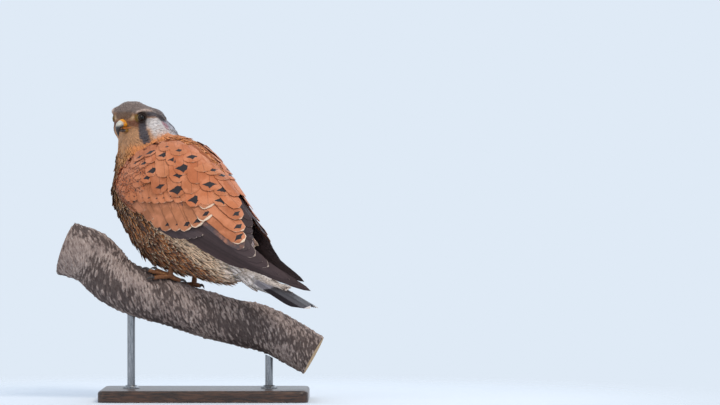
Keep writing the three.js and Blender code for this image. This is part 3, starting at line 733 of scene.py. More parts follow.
def joined_flesh():
    """The body's flesh with the head's and the tail root's, each grown a little so that they run into one."""
    points, faces = [], []
    for node in ("torso", "neck"):
        copy = bmesh.new()
        copy.from_mesh(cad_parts[node].data)
        bmesh.ops.remove_doubles(copy, verts=copy.verts, dist=1e-6)
        copy.normal_update()
        start = len(points)
        points.extend((v.co + v.normal * JOIN_GROW * MM) / MM for v in copy.verts)
        faces.extend([start + v.index for v in f.verts] for f in copy.faces)
        copy.free()
    root = flesh_shell(TAIL_ROOT_MIDDLE, TAIL_ROOT_LOBES, TAIL_ROOT_BLEND, grown=0, far=60)
    head = flesh_shell(np.zeros(3), HEAD_LOBES, HEAD_BLEND, grown=JOIN_GROW, far=50)
    for (shell_points, shell_faces), to_world in ((root, bird_to_world), (head, head_to_world)):
        start = len(points)
        points.extend(Vector(p) for p in to_world(shell_points))
        faces.extend([start + i for i in f] for f in shell_faces)
    return new_piece("body_skin", [tuple(p) for p in points], faces, skin_finish)


DEEP_SHADE = paint(30, 22, 18)


def skin_colour():
    material, tree, shader = material_named("skin_under_feathers", 0.75, 0.2)
    shadow = cloudy(tree, object_place(tree), 1.3, 3)
    ground = kept(tree, "plumage", "Color")
    colour = blend(tree, step(tree, shadow, 0.3, 0.7, 0.5, 0.3), ground, DEEP_SHADE)
    tree.links.new(colour, shader.inputs["Base Color"])
    roughen(tree, shader, shadow, 0.3, 0.7)
    return material


skin_finish = skin_colour()


def applied(piece):
    """The piece with its modifiers turned into plain mesh."""
    graph = bpy.context.evaluated_depsgraph_get()
    mesh = bpy.data.meshes.new_from_object(piece.evaluated_get(graph), depsgraph=graph)
    piece.modifiers.clear()
    piece.data = mesh
    return piece


def mesh_array(mesh, what, name, width):
    values = np.zeros(len(getattr(mesh, what)) * width, np.float64)
    getattr(mesh, what).foreach_get(name, values)
    return values.reshape(-1, width)


# Where the head's feathers stand fuller than its flesh: a place, a reach, and how far they lift the skin
FULLER = [
    ((9, 0, 15), 16, (0, 0, 1.6)),
    ((14, -13, 12), 16, (0.6, -0.6, 2.6)),
    ((-14, 15, 4), 15, (-1.6, 1.8, 1.4)),
    ((-22, 25, -13), 18, (-4.6, 5.3, 0)),
]


def fuller_places(places):
    """How far the skin is lifted at each place of the head's frame, as millimetres of the shared frame."""
    lifted = np.zeros_like(places)
    for middle, reach, by in FULLER:
        away = np.linalg.norm(places - np.array(middle), axis=1)
        lifted += smooth(reach, 0.25 * reach, away)[:, None] * np.array(by)
    return lifted @ HEAD_TURN.T @ BIRD_TURN.T


EYE_AT = np.array([14.2, 16.5, 3.6])
EYE_LOOKS = np.array([0.34, 0.93, 0.08]) / np.linalg.norm([0.34, 0.93, 0.08])
EYE_OPENING = EYE_AT + 4 * EYE_LOOKS
DISH_OUT = 2.4  # how far out of the eye's middle the skin lies at its rim
DISH_FROM = 4.6  # from the eye's axis, where the dish is still at its full depth
DISH_TO = 7.4


def side_of(places):
    """What turns places of the right side into the like ones of the left side, and back."""
    mirror = np.ones((len(places), 3))
    mirror[places[:, 1] < 0, 1] = -1
    return mirror


def sunk_round_eyes(places):
    """How far the skin sinks in a dish round each eye, as millimetres of the shared frame."""
    mirror = side_of(places)
    away = places * mirror - EYE_AT
    out = away @ EYE_LOOKS
    wide = np.linalg.norm(away - out[:, None] * EYE_LOOKS, axis=1)
    sunk = np.clip(out - DISH_OUT, 0, None) * smooth(DISH_TO, DISH_FROM, wide)
    return -sunk[:, None] * EYE_LOOKS * mirror @ HEAD_TURN.T @ BIRD_TURN.T


BACK_FULLER = 5.0  # at most


def fuller_back(places):
    """How far the mantle stands up between the wings, so that it covers their roots."""
    away = places - WRIST
    s, up = away @ WING_AXIS, away @ WING_UP
    middle = smooth(24, 8, np.abs(places[:, 1])) * smooth(10, 30, up)
    return BACK_FULLER * middle * smooth(14, 34, s) * smooth(128, 104, s)


def make_skin():
    skin = joined_flesh()
    remesh = skin.modifiers.new("remesh", "REMESH")
    remesh.mode = "VOXEL"
    remesh.voxel_size = SKIN_VOXEL * MM
    smoothing = skin.modifiers.new("smooth", "SMOOTH")
    smoothing.factor = SMOOTHING_SHARE
    smoothing.iterations = SKIN_SMOOTHING
    applied(skin)
    mesh = skin.data
    world = mesh_array(mesh, "vertices", "co", 3)
    normals = mesh_array(mesh, "vertices", "normal", 3)
    bird = world_to_bird(world / MM)
    onto_head = 1 - smooth(0, 13, flesh_distance(bird_to_head(bird), HEAD_LOBES, HEAD_BLEND))
    over_tail = smooth(-28, -44, bird[:, 0]) * smooth(150, 140, bird[:, 2])
    depth = COAT_DEPTH["body"] + (COAT_DEPTH["head"] - COAT_DEPTH["body"]) * onto_head
    depth = depth * (1 - 0.6 * over_tail)
    world -= normals * (depth + JOIN_GROW)[:, None] * MM
    world += fuller_places(bird_to_head(bird)) * MM
    world += normals * fuller_back(bird)[:, None] * MM
    world += sunk_round_eyes(bird_to_head(world_to_bird(world / MM))) * MM
    mesh.vertices.foreach_set("co", world.ravel())
    mesh.update()
    mesh.shade_smooth()
    return skin


body_skin = make_skin()
skin_places = world_to_bird(mesh_array(body_skin.data, "vertices", "co", 3) / MM)
skin_normals = mesh_array(body_skin.data, "vertices", "normal", 3) @ BIRD_TURN
head_places = bird_to_head(skin_places)
onto_head = 1 - smooth(1, 12, flesh_distance(head_places, HEAD_LOBES, HEAD_BLEND))
NAPE_AT = np.array([-22, 25, -10])  # fuller feathers lift the nape off the head's own flesh
onto_head = np.maximum(onto_head, smooth(19, 12, np.linalg.norm(head_places - NAPE_AT, axis=1)))

# The markings of an adult male. Each is a colour and how strongly it lies at each place of the skin.
BREAST = paint(206, 146, 92)
BELLY = paint(196, 124, 72)
BELLY_PAINTED_SHADE = paint(118, 70, 44)
FLANK = paint(255, 216, 180)
VENT = paint(238, 224, 216)
MANTLE = paint(222, 138, 78)
RUMP = paint(150, 146, 156)
FACE = paint(176, 126, 88)
CROWN = paint(152, 132, 124)
CROWN_STREAK = paint(112, 98, 94)
NAPE = paint(170, 168, 178)
BROW = paint(236, 208, 194)
LORES = paint(226, 190, 146)
LORES_DARK = paint(116, 66, 44)
FOREHEAD = paint(96, 74, 60)
EYE_FRONT = paint(150, 112, 34)
MOUSTACHE = paint(64, 66, 78)
CHEEK = paint(230, 222, 220)
EAR = paint(176, 124, 136)
THROAT = paint(206, 154, 112)
ORBIT = paint(50, 38, 34)


def layer(ground, colour, share):
    """The ground's colours under a layer of another one, laid on by a share from 0 to 1."""
    share = np.clip(share, 0, 1)[:, None]
    return ground * (1 - share) + np.array(colour[:3]) * share


def near_line(points, line, radius):
    """How close points are to a broken line, 1 on it and 0 a radius away."""
    best = np.full(len(points), np.inf)
    for a, b in zip(line[:-1], line[1:]):
        a, b = np.array(a, float), np.array(b, float)
        t = np.clip(((points - a) @ (b - a)) / ((b - a) @ (b - a)), 0, 1)
        best = np.minimum(best, np.linalg.norm(points - a - t[:, None] * (b - a), axis=1))
    return smooth(1.15, 0.7, best / radius)


def ragged(points, scale, seed):
    """A slow random value from -1 to 1 at each point, for edges that aren't ruled."""
    shift = Vector((seed * 17.3, seed * 5.1, seed * 9.7))
    return np.array([noise.noise(Vector(p) / scale + shift) for p in points.tolist()])


BROW_LINE = [(21.5, 17, 11.2), (14, 19.5, 12.6), (6, 21, 12)]
BEHIND_EYE = [(8, 24, 7.4), (-0.9, 24.6, 7.0), (-9, 23.2, 3.8), (-15, 22, -0.5)]
MOUSTACHE_LINE = [(15.5, 20.5, -2), (16.5, 21.5, -9.5), (17.5, 23.5, -15), (15.5, 26.5, -21)]
UNDER_BROW = [(18, 21, 9.4), (8, 24, 8.6)]
LORES_LINE = [(22.5, 11.5, 3.5), (22.2, 13, 5)]
LORES_DARK_LINE = [(25, 6.5, -1.5), (22.5, 12, -2.2), (19.5, 16.5, -1.5)]
FOREHEAD_LINE = [(22, -7, 7), (24, 0, 6), (22, 7, 7)]
EYE_FRONT_LINE = [(19.4, 17, 4.2), (19, 17.4, 2.6)]
EAR_LINE = [(-10.5, 24.5, -7.4), (-11.5, 24.5, -11)]
# The line that the underparts' feathers follow, and how much longer their clumps of painted shade are along
# it
BELLY_LIES = np.array([-0.78, 0, -0.62])
BELLY_STRETCH = 0.62
# The slanting line on the body's side, from bill to tail, that parts the upper side from the lower
SIDE_LINE_AT = (31, 196)
SIDE_LINE_SLOPE = 0.55
# The slanting line behind which the flank is pale
FLANK_FROM = (8.8, 154.5)
FLANK_LEANS = 1.23


def over_side_line(places):
    return places[:, 2] - (SIDE_LINE_SLOPE * (places[:, 0] - SIDE_LINE_AT[0]) + SIDE_LINE_AT[1])


def before_flank_line(places):
    return places[:, 0] - FLANK_FROM[0] - FLANK_LEANS * (places[:, 2] - FLANK_FROM[1])


def plumage_colours(places, on):
    """The colour at each place of the bird, on the head by its share, and how far it is the upper side."""
    x, z = places[:, 0], places[:, 2]
    wobble = ragged(places, 9, 1)
    fine = ragged(places, 3.2, 2)
    upper = smooth(4, 26, over_side_line(places) + 3 * wobble) * smooth(80, 70, x + 1.5 * wobble)
    colour = np.tile(np.array(BREAST[:3]), (len(x), 1))
    colour = layer(colour, BELLY, smooth(206, 176, z + 4 * wobble))
    stretched = places - BELLY_STRETCH * (places @ BELLY_LIES)[:, None] * BELLY_LIES
    front = smooth(70, 96, x + 0.3 * (z - 200))
    # Clumps among the belly's feathers are painted darker, more so lower down and at the front: painted
    # shade.
    shaded_tufts = smooth(-0.02, 0.3, ragged(stretched, 5.5, 3) + 0.16 * front)
    colour = layer(colour, BELLY_PAINTED_SHADE, shaded_tufts * (0.5 + 0.35 * smooth(228, 200, z)))
    under_wing = smooth(6, -5, before_flank_line(places) + 3 * wobble)
    colour = layer(colour, FLANK, under_wing * smooth(196, 186, z))
    colour = layer(colour, VENT, smooth(-18, -40, x + 4 * wobble) * smooth(176, 160, z))
    colour = layer(colour, MANTLE, upper)
    colour = layer(colour, RUMP, upper * smooth(-14, -34, x))
    head = bird_to_head(places)
    mirrored = head * side_of(head)
    rough, rougher, roughest = (mirrored + share * fine[:, None] for share in (0.5, 0.6, 1))
    hx, hy, hz = mirrored.T
    colour = layer(colour, FACE, on * smooth(-10, -2, hx))
    colour = layer(colour, THROAT, on * smooth(-4, -9, hz) * smooth(-6, 6, hx))
    colour = layer(colour, NAPE, on * smooth(-2, -14, hx + 2 * wobble))
    cheek = smooth(11, 15, hy + wobble) * smooth(-15, -8, hx + wobble)
    colour = layer(colour, CHEEK, on * cheek * smooth(14, 10, hx) * smooth(4.5, 2, hz))
    low_cheek = smooth(-22, -16, hx) * smooth(7, 2, hx) * smooth(-6, -10, hz) * smooth(12, 16, hy)
    colour = layer(colour, CHEEK, 0.5 * on * low_cheek)
    colour = layer(colour, THROAT, on * smooth(-15, -20, hz + fine) * smooth(-14, -2, hx))
    colour = layer(colour, EAR, 0.85 * on * near_line(mirrored, EAR_LINE, 6.4))
    crown_edge = 5.5 + 3.5 * smooth(16, 22, hx) - 5 * smooth(-4, -20, hx)
    colour = layer(colour, CROWN, on * smooth(crown_edge - 1.2, crown_edge + 1.8, hz + 0.8 * wobble))
    crown = on * smooth(crown_edge, crown_edge + 2, hz)
    colour = layer(colour, CROWN_STREAK, 0.75 * crown * smooth(0, 0.3, ragged(places, 1.1, 6)))
    colour = layer(colour, NAPE, 0.55 * on * smooth(0, -16, hx) * smooth(0, 6, hz))
    colour = layer(colour, MOUSTACHE, 0.85 * on * near_line(mirrored, BEHIND_EYE, 3.1))
    colour = layer(colour, MOUSTACHE, 0.95 * near_line(rough, MOUSTACHE_LINE, 5.0))
    colour = layer(colour, FOREHEAD, 0.75 * on * near_line(head + fine[:, None], FOREHEAD_LINE, 4.5))
    colour = layer(colour, LORES, 0.85 * on * near_line(roughest, LORES_LINE, 2.2))
    colour = layer(colour, LORES_DARK, 0.85 * on * near_line(rougher, LORES_DARK_LINE, 3.4))
    colour = layer(colour, MOUSTACHE, 0.5 * on * near_line(mirrored, UNDER_BROW, 1.9))
    colour = layer(colour, BROW, 0.9 * on * near_line(mirrored, BROW_LINE, 2.7))
    from_eye = np.linalg.norm(mirrored - EYE_OPENING, axis=1)
    colour = layer(colour, ORBIT, on * smooth(7.6, 5.8, from_eye))
    colour = layer(colour, EYE_FRONT, on * near_line(mirrored, EYE_FRONT_LINE, 3.4))
    return colour, upper


def streaks():
    """How strongly a feather that grows here is streaked along its shaft."""
    x, z = skin_places[:, 0], skin_places[:, 2]
    below = smooth(26, 4, over_side_line(skin_places))
    behind = smooth(6, -5, before_flank_line(skin_places))
    breast = smooth(262, 244, z) * below * smooth(-20, 0, x) * (1 - 0.55 * behind)
    crown = 0.6 * onto_head * smooth(4, 9, head_places[:, 2]) * smooth(-16, 2, head_places[:, 0])
    return np.maximum(breast, crown)


def from_eyes():
    """From the nearer eye's opening to each place of the skin, in the head's frame, and how far that is."""
    away = head_places - EYE_OPENING * side_of(head_places)
    return away, np.linalg.norm(away, axis=1)


LIE_TO_TAIL = np.array([-150, 0, 88])
LIE_DOWN_NECK = np.array([45, 0, 215])
LIE_FROM_BILL = np.array([30, 0, -2])  # in the head's frame


def lie_of_coat():
    """The way that the feathers lie: back from the bill on the head, and towards the tail on the body."""
    towards_tail = LIE_TO_TAIL - skin_places
    from_bill = (head_places - LIE_FROM_BILL) @ HEAD_TURN.T
    down_neck = LIE_DOWN_NECK - skin_places
    back_of_head = smooth(4, -14, head_places[:, 0]) * 0.9
    head_lie = unit(from_bill) * (1 - back_of_head)[:, None] + unit(down_neck) * back_of_head[:, None]
    away, distance = from_eyes()
    around = smooth(10.5, 6.5, distance)[:, None]
    head_lie = head_lie * (1 - around) + (unit(away @ HEAD_TURN.T) + 0.3 * head_lie) * around
    share = onto_head[:, None]
    over_neck = smooth(238, 262, skin_places[:, 2])[:, None] * (1 - share)
    body_lie = unit(towards_tail) * (1 - 0.6 * over_neck) + unit(down_neck) * 0.6 * over_neck
    lie = unit(body_lie * (1 - share) + head_lie * share)
    lie -= skin_normals * np.sum(lie * skin_normals, axis=1)[:, None]
    return unit(lie + 1e-6)


def feather_lengths():
    """How long the feathers are that grow at each place of the skin."""
    x, z = skin_places[:, 0], skin_places[:, 2]
    front = smooth(10, 24, head_places[:, 0])
    on_head = (4.8 - 2.3 * front) * (0.34 + 0.66 * smooth(6, 12, from_eyes()[1]))
    body = 12 + 8 * smooth(200, 160, z) + 3 * smooth(30, -20, x)
    neck = smooth(238, 268, z)
    body = body * (1 - neck) + 8 * neck
    return body * (1 - onto_head) + on_head * onto_head


def with_alpha(colours):
    return np.concatenate([colours, np.ones((len(colours), 1))], axis=1)


def unwrap(piece, name):
    """An unwrap of the piece's own shape, under that name."""
    piece.data.uv_layers.new(name=name)
    bpy.ops.object.select_all(action="DESELECT")
    piece.select_set(True)
    bpy.context.view_layer.objects.active = piece
    bpy.ops.object.mode_set(mode="EDIT")
    bpy.ops.mesh.select_all(action="SELECT")
    bpy.ops.uv.smart_project(angle_limit=math.radians(66), island_margin=0.004)
    bpy.ops.object.mode_set(mode="OBJECT")


lie, length = lie_of_coat(), feather_lengths()
SHOWN = 0.55  # a feather shows its outer half
shown_at = skin_places + lie * (SHOWN * length)[:, None]
colours, upper_side = plumage_colours(shown_at, onto_head)
keep(body_skin, "plumage", "FLOAT_COLOR", with_alpha(colours))
keep(body_skin, "streak", "FLOAT", streaks())
keep(body_skin, "lie", "FLOAT_VECTOR", lie @ BIRD_TURN.T)
keep(body_skin, "length", "FLOAT", length * MM)
unwrap(body_skin, "OFBake")
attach(body_skin, "root")
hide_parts("torso", "neck", "head")

# The body's feathers
# Small contour feathers grow all over the skin and overlap like tiles, shortest round the bill and eyes.
# Those of the belly, flanks and thighs are long, loose and narrow, with dark shaft streaks.
FEATHER_STATIONS = [0, 0.3, 0.62, 0.86, 1]
ROUND_SHAPE = [0.45, 0.92, 1, 0.78, 0.2]
LOOSE_SHAPE = [0.7, 1, 0.86, 0.5, 0.06]
FEATHER_CUP = 0.16
FEATHER_BOW = 0.07
FEATHER_DROOP = 0.05
FEATHER_THICK = 0.035
PATCH = 0.003  # size of a feather's own patch on the skin's unwrap


def feather_pattern(name, shape):
    """One small feather: 1 long, 1 wide, root at the origin, tip along +X, outer face up."""
    points, places = [], []
    for t, wide in zip(FEATHER_STATIONS, shape):
        bow = FEATHER_BOW * math.sin(math.pi * t) - FEATHER_DROOP * t * t
        edge = bow - FEATHER_CUP * wide * wide * 0.5
        points += [(t, wide / 2, edge), (t, 0, bow + FEATHER_THICK / 2), (t, -wide / 2, edge)]
        points += [(t, 0, bow - FEATHER_THICK / 2 - 0.02 * (1 - t))]
        places += [(1, t), (0.5, t), (0, t), (0.5, t)]
    faces = []
    for i in range(len(FEATHER_STATIONS) - 1):
        for j in range(4):
            k = (j + 1) % 4
            faces.append((4 * i + j, 4 * i + 4 + j, 4 * i + 4 + k, 4 * i + k))
    last = 4 * (len(FEATHER_STATIONS) - 1)
    faces += [(0, 1, 2, 3), (last + 3, last + 2, last + 1, last)]
    mesh = bpy.data.meshes.new(name)
    mesh.from_pydata(points, [], faces)
    mesh.shade_smooth()
    layer_of_places = mesh.uv_layers.new(name="vane")
    corners = [places[loop.vertex_index] for loop in mesh.loops]
    layer_of_places.data.foreach_set("uv", np.array(corners, np.float32).ravel())
    mesh.set_sharp_from_angle(angle=math.radians(80))
    pattern = bpy.data.objects.new(name, mesh)
    bpy.context.collection.objects.link(pattern)
    return pattern


def on_vane(tree):
    """How far from a feather's shaft, and how far from its tip, each from 0 to 1."""
    vane = add(tree, "ShaderNodeUVMap", uv_map="vane")
    split = add(tree, "ShaderNodeSeparateXYZ", {0: vane.outputs[0]})
    across = reckon(tree, "ABSOLUTE", reckon(tree, "MULTIPLY_ADD", split.outputs["X"], 2, -1))
    return across, reckon(tree, "SUBTRACT", 1, split.outputs["Y"])


SHEEN_ROUGH = 0.6
BARB_SHADE = paint(60, 36, 26)
SHAFT_BROWN = paint(58, 38, 30)


def plumage_finish(name, fringe, mark, barbs, gloss=0.2, soft=0.12, lined=0.16, bloom=None):
    """A feather's finish: its ground colour, then barbs, fringe, streak, dark spot and shaft."""
    material, tree, shader = material_named(name, 0.62, gloss)
    shader.inputs["Sheen Weight"].default_value = soft
    shader.inputs["Sheen Roughness"].default_value = SHEEN_ROUGH

    def times(a, b):
        return reckon(tree, "MULTIPLY", a, b)

    def plus(a, b):
        return reckon(tree, "ADD", a, b)

    def less(a, b):
        return reckon(tree, "SUBTRACT", a, b)

    def wavering(size, detail, reach):
        """A cloudy value of that reach, half below nought and half above."""
        return reckon(tree, "MULTIPLY_ADD", cloudy(tree, object_place(tree), size, detail), reach, -reach / 2)

    across, from_tip = on_vane(tree)
    slender, tone, band, spot = (kept(tree, word) for word in ("slender", "tone", "fringe", "spot"))
    tip_away = times(from_tip, slender)
    mottled = cloudy(tree, object_place(tree), 0.16, 4)
    shade = plus(plus(times(tone, 0.3), times(mottled, 0.3)), 0.76)
    shades = add(tree, "ShaderNodeCombineXYZ", {0: shade, 1: shade, 2: shade}).outputs[0]
    colour = blend(tree, 1, kept(tree, "plumage", "Color"), shades, "MULTIPLY")
    run = plus(times(tip_away, barbs), times(across, barbs * 0.9))
    lines = reckon(tree, "SINE", plus(run, times(mottled, 5)))
    if bloom:
        cloud = cloudy(tree, object_place(tree), 0.07, 3)
        colour = blend(tree, step(tree, cloud, 0.42, 0.66, 0, 0.6), colour, bloom)
    colour = blend(tree, step(tree, lines, -0.2, 1, 0, lined), colour, BARB_SHADE)
    side_edge = plus(less(1, across), times(tip_away, 0.2))
    pale_edge = reckon(tree, "MINIMUM", side_edge, times(tip_away, 0.8))
    fringed = less(less(band, pale_edge), times(wavering(0.6, 2, 0.16), band))
    strength = reckon(tree, "MINIMUM", reckon(tree, "MULTIPLY_ADD", band, 2.4, 0.3), 0.92)
    colour = blend(tree, times(step(tree, fringed, -0.06, 0.07), strength), colour, fringe)
    width = times(times(kept(tree, "streak"), 0.42), step(tree, from_tip, 0.02, 0.3, 0.1, 1))
    colour = blend(tree, step(tree, less(width, across), -0.05, 0.06, 0, 0.9), colour, mark)
    off = less(tip_away, kept(tree, "spot_at"))
    off = reckon(tree, "MAXIMUM", times(off, 2.8), times(off, -1.5))
    pinched = times(reckon(tree, "MINIMUM", across, off), 0.2)
    reach = plus(plus(across, off), pinched)
    near = less(spot, plus(reach, times(wavering(0.45, 2, 0.5), step(tree, spot, 0, 0.5))))
    marked = times(step(tree, near, -0.04, 0.06), step(tree, spot, 0.05, 0.12))
    colour = blend(tree, marked, colour, mark)
    colour = blend(tree, step(tree, across, 0.05, 0.02, 0, 0.2), colour, SHAFT_BROWN)
    tree.links.new(colour, shader.inputs["Base Color"])
    roughen(tree, shader, lines, 0.12, 0.5)
    return material


BODY_RIM = paint(226, 202, 170)
BODY_STREAK = paint(58, 38, 28)
body_finish = plumage_finish("body_plumage", BODY_RIM, BODY_STREAK, 9)


def coat_tree():
    """Geometry Nodes that lay one kind of feather over one part of a skin."""
    tree = bpy.data.node_groups.new("lay_feathers", "GeometryNodeTree")
    sockets = [
        ("Skin", "NodeSocketGeometry"),
        ("Feather", "NodeSocketObject"),
        ("Part", "NodeSocketString"),
        ("Spacing", "NodeSocketFloat"),
        ("Slender", "NodeSocketFloat"),
        ("Lift", "NodeSocketFloat"),
        ("Disorder", "NodeSocketFloat"),
        ("Seed", "NodeSocketInt"),
        ("Spotted Share", "NodeSocketFloat"),
        ("Fringe", "NodeSocketFloat"),
        ("Finish", "NodeSocketMaterial"),
    ]
    for name, kind in sockets:
        tree.interface.new_socket(name, in_out="INPUT", socket_type=kind)
    tree.interface.new_socket("Coat", in_out="OUTPUT", socket_type="NodeSocketGeometry")
    given = add(tree, "NodeGroupInput").outputs

    def stored(name, kind="FLOAT"):
        node = add(tree, "GeometryNodeInputNamedAttribute", {"Name": name}, data_type=kind)
        return socket(node.outputs, "Attribute")

    def drawn(low, high, number):
        inputs = {"Min": low, "Max": high, "Seed": reckon(tree, "ADD", given["Seed"], number)}
        return socket(add(tree, "FunctionNodeRandomValue", inputs, data_type="FLOAT").outputs, "Value")

    def store(geometry, name, value, kind="FLOAT", domain="POINT"):
        inputs = {"Geometry": geometry, "Name": name, "Value": value}
        return add(tree, "GeometryNodeStoreNamedAttribute", inputs, data_type=kind, domain=domain).outputs[0]

    scatter = {
        "Mesh": given["Skin"],
        "Distance Min": given["Spacing"],
        "Density Max": 4e6,
        "Density Factor": stored(given["Part"]),
        "Seed": given["Seed"],
    }
    roots = add(tree, "GeometryNodeDistributePointsOnFaces", scatter, distribute_method="POISSON")
    points = roots.outputs["Points"]
    points = store(points, "root_place", stored("OFBake", "FLOAT_VECTOR"), "FLOAT_VECTOR")
    points = store(points, "tone", drawn(-0.5, 0.5, 1))
    spotted = reckon(tree, "LESS_THAN", drawn(0, 1, 2), given["Spotted Share"])
    points = store(points, "spot", reckon(tree, "MULTIPLY", spotted, drawn(0.4, 0.7, 3)))
    points = store(points, "spot_at", drawn(0.5, 0.8, 4))
    points = store(points, "fringe", reckon(tree, "MULTIPLY", given["Fringe"], drawn(0.2, 1, 5)))
    points = store(points, "slender", given["Slender"])
    axes = {"Primary Axis": roots.outputs["Normal"], "Secondary Axis": stored("lie", "FLOAT_VECTOR")}
    turn = add(tree, "FunctionNodeAxesToRotation", axes, primary_axis="Z", secondary_axis="X").outputs[0]
    lift = reckon(tree, "MULTIPLY", given["Lift"], drawn(-1.35, -0.65, 6))
    aside = reckon(tree, "MULTIPLY", given["Disorder"], drawn(-1, 1, 7))
    roll = reckon(tree, "MULTIPLY", given["Disorder"], drawn(-0.7, 0.7, 8))
    euler = add(tree, "ShaderNodeCombineXYZ", {0: roll, 1: lift, 2: aside}).outputs[0]
    local = add(tree, "FunctionNodeEulerToRotation", {0: euler}).outputs[0]
    turns = {"Rotation": turn, "Rotate By": local}
    turn = add(tree, "FunctionNodeRotateRotation", turns, rotation_space="LOCAL").outputs[0]
    long = reckon(tree, "MULTIPLY", stored("length"), drawn(0.85, 1.15, 9))
    wide = reckon(tree, "DIVIDE", reckon(tree, "MULTIPLY", long, 2), given["Slender"])
    size = add(tree, "ShaderNodeCombineXYZ", {0: long, 1: wide, 2: wide}).outputs[0]
    pattern = add(tree, "GeometryNodeObjectInfo", {"Object": given["Feather"]}, transform_space="ORIGINAL")
    pattern = pattern.outputs["Geometry"]
    laid = {"Points": points, "Instance": pattern, "Rotation": turn, "Scale": size}
    coat = add(tree, "GeometryNodeInstanceOnPoints", laid).outputs[0]
    coat = add(tree, "GeometryNodeRealizeInstances", {"Geometry": coat}).outputs[0]
    vane = stored("vane", "FLOAT_VECTOR")
    own = add(tree, "ShaderNodeVectorMath", {0: vane, 1: (0.5, 0.5, 0)}, operation="SUBTRACT").outputs[0]
    own = add(tree, "ShaderNodeVectorMath", {0: own, "Scale": PATCH}, operation="SCALE").outputs[0]
    place = {0: stored("root_place", "FLOAT_VECTOR"), 1: own}
    place = add(tree, "ShaderNodeVectorMath", place, operation="ADD").outputs[0]
    coat = store(coat, "baked_place", place, "FLOAT2", "CORNER")
    coat = add(tree, "GeometryNodeSetMaterial", {"Geometry": coat, "Material": given["Finish"]}).outputs[0]
    add(tree, "NodeGroupOutput", {"Coat": coat})
    return tree


KEPT_ON_COAT = {"plumage", "streak", "tone", "spot", "spot_at", "fringe", "slender", "vane", "OFBake"}


def lay_coat(name, skin, tree, settings):
    """A coat of feathers as one plain mesh piece, from the tree and its settings by input name."""
    worker = bpy.data.objects.new(name + "_worker", skin.data)
    bpy.context.collection.objects.link(worker)
    modifier = worker.modifiers.new("coat", "NODES")
    modifier.node_group = tree
    for item in tree.interface.items_tree:
        if item.name in settings:
            modifier[item.identifier] = settings[item.name]
    graph = bpy.context.evaluated_depsgraph_get()
    laid = worker.evaluated_get(graph)
    mesh = bpy.data.meshes.new_from_object(laid, preserve_all_data_layers=True, depsgraph=graph)
    worker.modifiers.clear()
    bpy.data.objects.remove(worker)
    baked = np.zeros(len(mesh.loops) * 2, np.float32)
    mesh.attributes["baked_place"].data.foreach_get("vector", baked)
    if "OFBake" in mesh.attributes:
        mesh.attributes.remove(mesh.attributes["OFBake"])
    mesh.attributes.remove(mesh.attributes["baked_place"])
    mesh.uv_layers.new(name="OFBake").data.foreach_set("uv", baked)
    for other in [a.name for a in mesh.attributes]:
        attribute = mesh.attributes[other]
        if other not in KEPT_ON_COAT and not attribute.is_internal and not attribute.is_required:
            mesh.attributes.remove(attribute)
    mesh.materials.clear()
    mesh.materials.append(settings["Finish"])
    mesh.name = name
    coat = bpy.data.objects.new(name, mesh)
    bpy.context.collection.objects.link(coat)
    return coat


def wing_cover(points):
    """Where the folded wings hide the body, from 0 to 1."""
    from_wrist = points - WRIST
    s = from_wrist @ WING_AXIS
    degrees = np.degrees(np.arctan2(from_wrist @ WING_UP, np.abs(points[:, 1])))
    over = smooth(16, 26, s) * smooth(-12, -6, degrees) * smooth(112, 92, s)
    return over * smooth(30 + 0.6 * s, 22 + 0.6 * s, degrees)


LID_OPENING = EYE_AT + EYE_LOOKS * 4.2
BILL_ROOT = np.array([25, 0, -5])
BILL_ROOT_REACH = np.array([6, 5.6, 7])


def coat_parts():
    """Where each part of the coat grows, from 0 to 1. The lids and the bill's root stay bare."""
    x, z = skin_places[:, 0], skin_places[:, 2]
    hx = head_places[:, 0]
    from_lid = np.linalg.norm(head_places * side_of(head_places) - LID_OPENING, axis=1)
    from_bill = np.linalg.norm((head_places - BILL_ROOT) / BILL_ROOT_REACH, axis=1)
    feathered = smooth(4.9, 5.5, from_lid) * smooth(0.9, 1.05, from_bill)
    body = 1 - onto_head
    neck = smooth(236, 246, z) * body
    under_wings = wing_cover(skin_places)
    upper = np.clip(upper_side * 1.5, 0, 1) > 0.5
    trunk = body * (1 - neck) * (1 - under_wings)
    tail = smooth(-34, -42, x)
    return {
        "face_part": smooth(6, 12, hx) * onto_head * feathered,
        "crown_part": smooth(14, 6, hx) * onto_head * feathered,
        "neck_part": smooth(0.02, 0.3, neck) * (1 - under_wings),
        "back_part": trunk * upper * (1 - tail),
        "breast_part": trunk * ~upper * smooth(168, 178, z) * (1 - tail),
        "belly_part": trunk * ~upper * smooth(186, 174, z) * (1 - tail),
        "tail_part": trunk * smooth(-28, -36, x) * smooth(-84, -74, x),
    }


for part, share in coat_parts().items():
    keep(body_skin, part, "FLOAT", share)

round_feather = feather_pattern("round_feather", ROUND_SHAPE)
loose_feather = feather_pattern("loose_feather", LOOSE_SHAPE)
feather_tree = coat_tree()
COATS = {
    "face_feathers": {"Part": "face_part", "Spacing": 0.66, "Slender": 3.6, "Lift": 0.1, "Fringe": 0.06},
    "crown_feathers": {"Part": "crown_part", "Spacing": 0.95, "Slender": 4.2, "Lift": 0.12, "Fringe": 0.06},
    "neck_feathers": {"Part": "neck_part", "Spacing": 1.4, "Slender": 4.2, "Lift": 0.16, "Fringe": 0.1},
    "back_feathers": {"Part": "back_part", "Spacing": 1.7, "Slender": 2.8, "Lift": 0.08, "Fringe": 0.06},
    "breast_feathers": {"Part": "breast_part", "Spacing": 2.4, "Slender": 4.4, "Lift": 0.2, "Fringe": 0.3},
    "belly_feathers": {"Part": "belly_part", "Spacing": 2.5, "Slender": 6.2, "Lift": 0.22, "Fringe": 0.5},
    "tail_coverts": {"Part": "tail_part", "Spacing": 1.9, "Slender": 4.2, "Lift": 0.04, "Fringe": 0.1},
}
LOOSE_COATS = ("belly_feathers",)
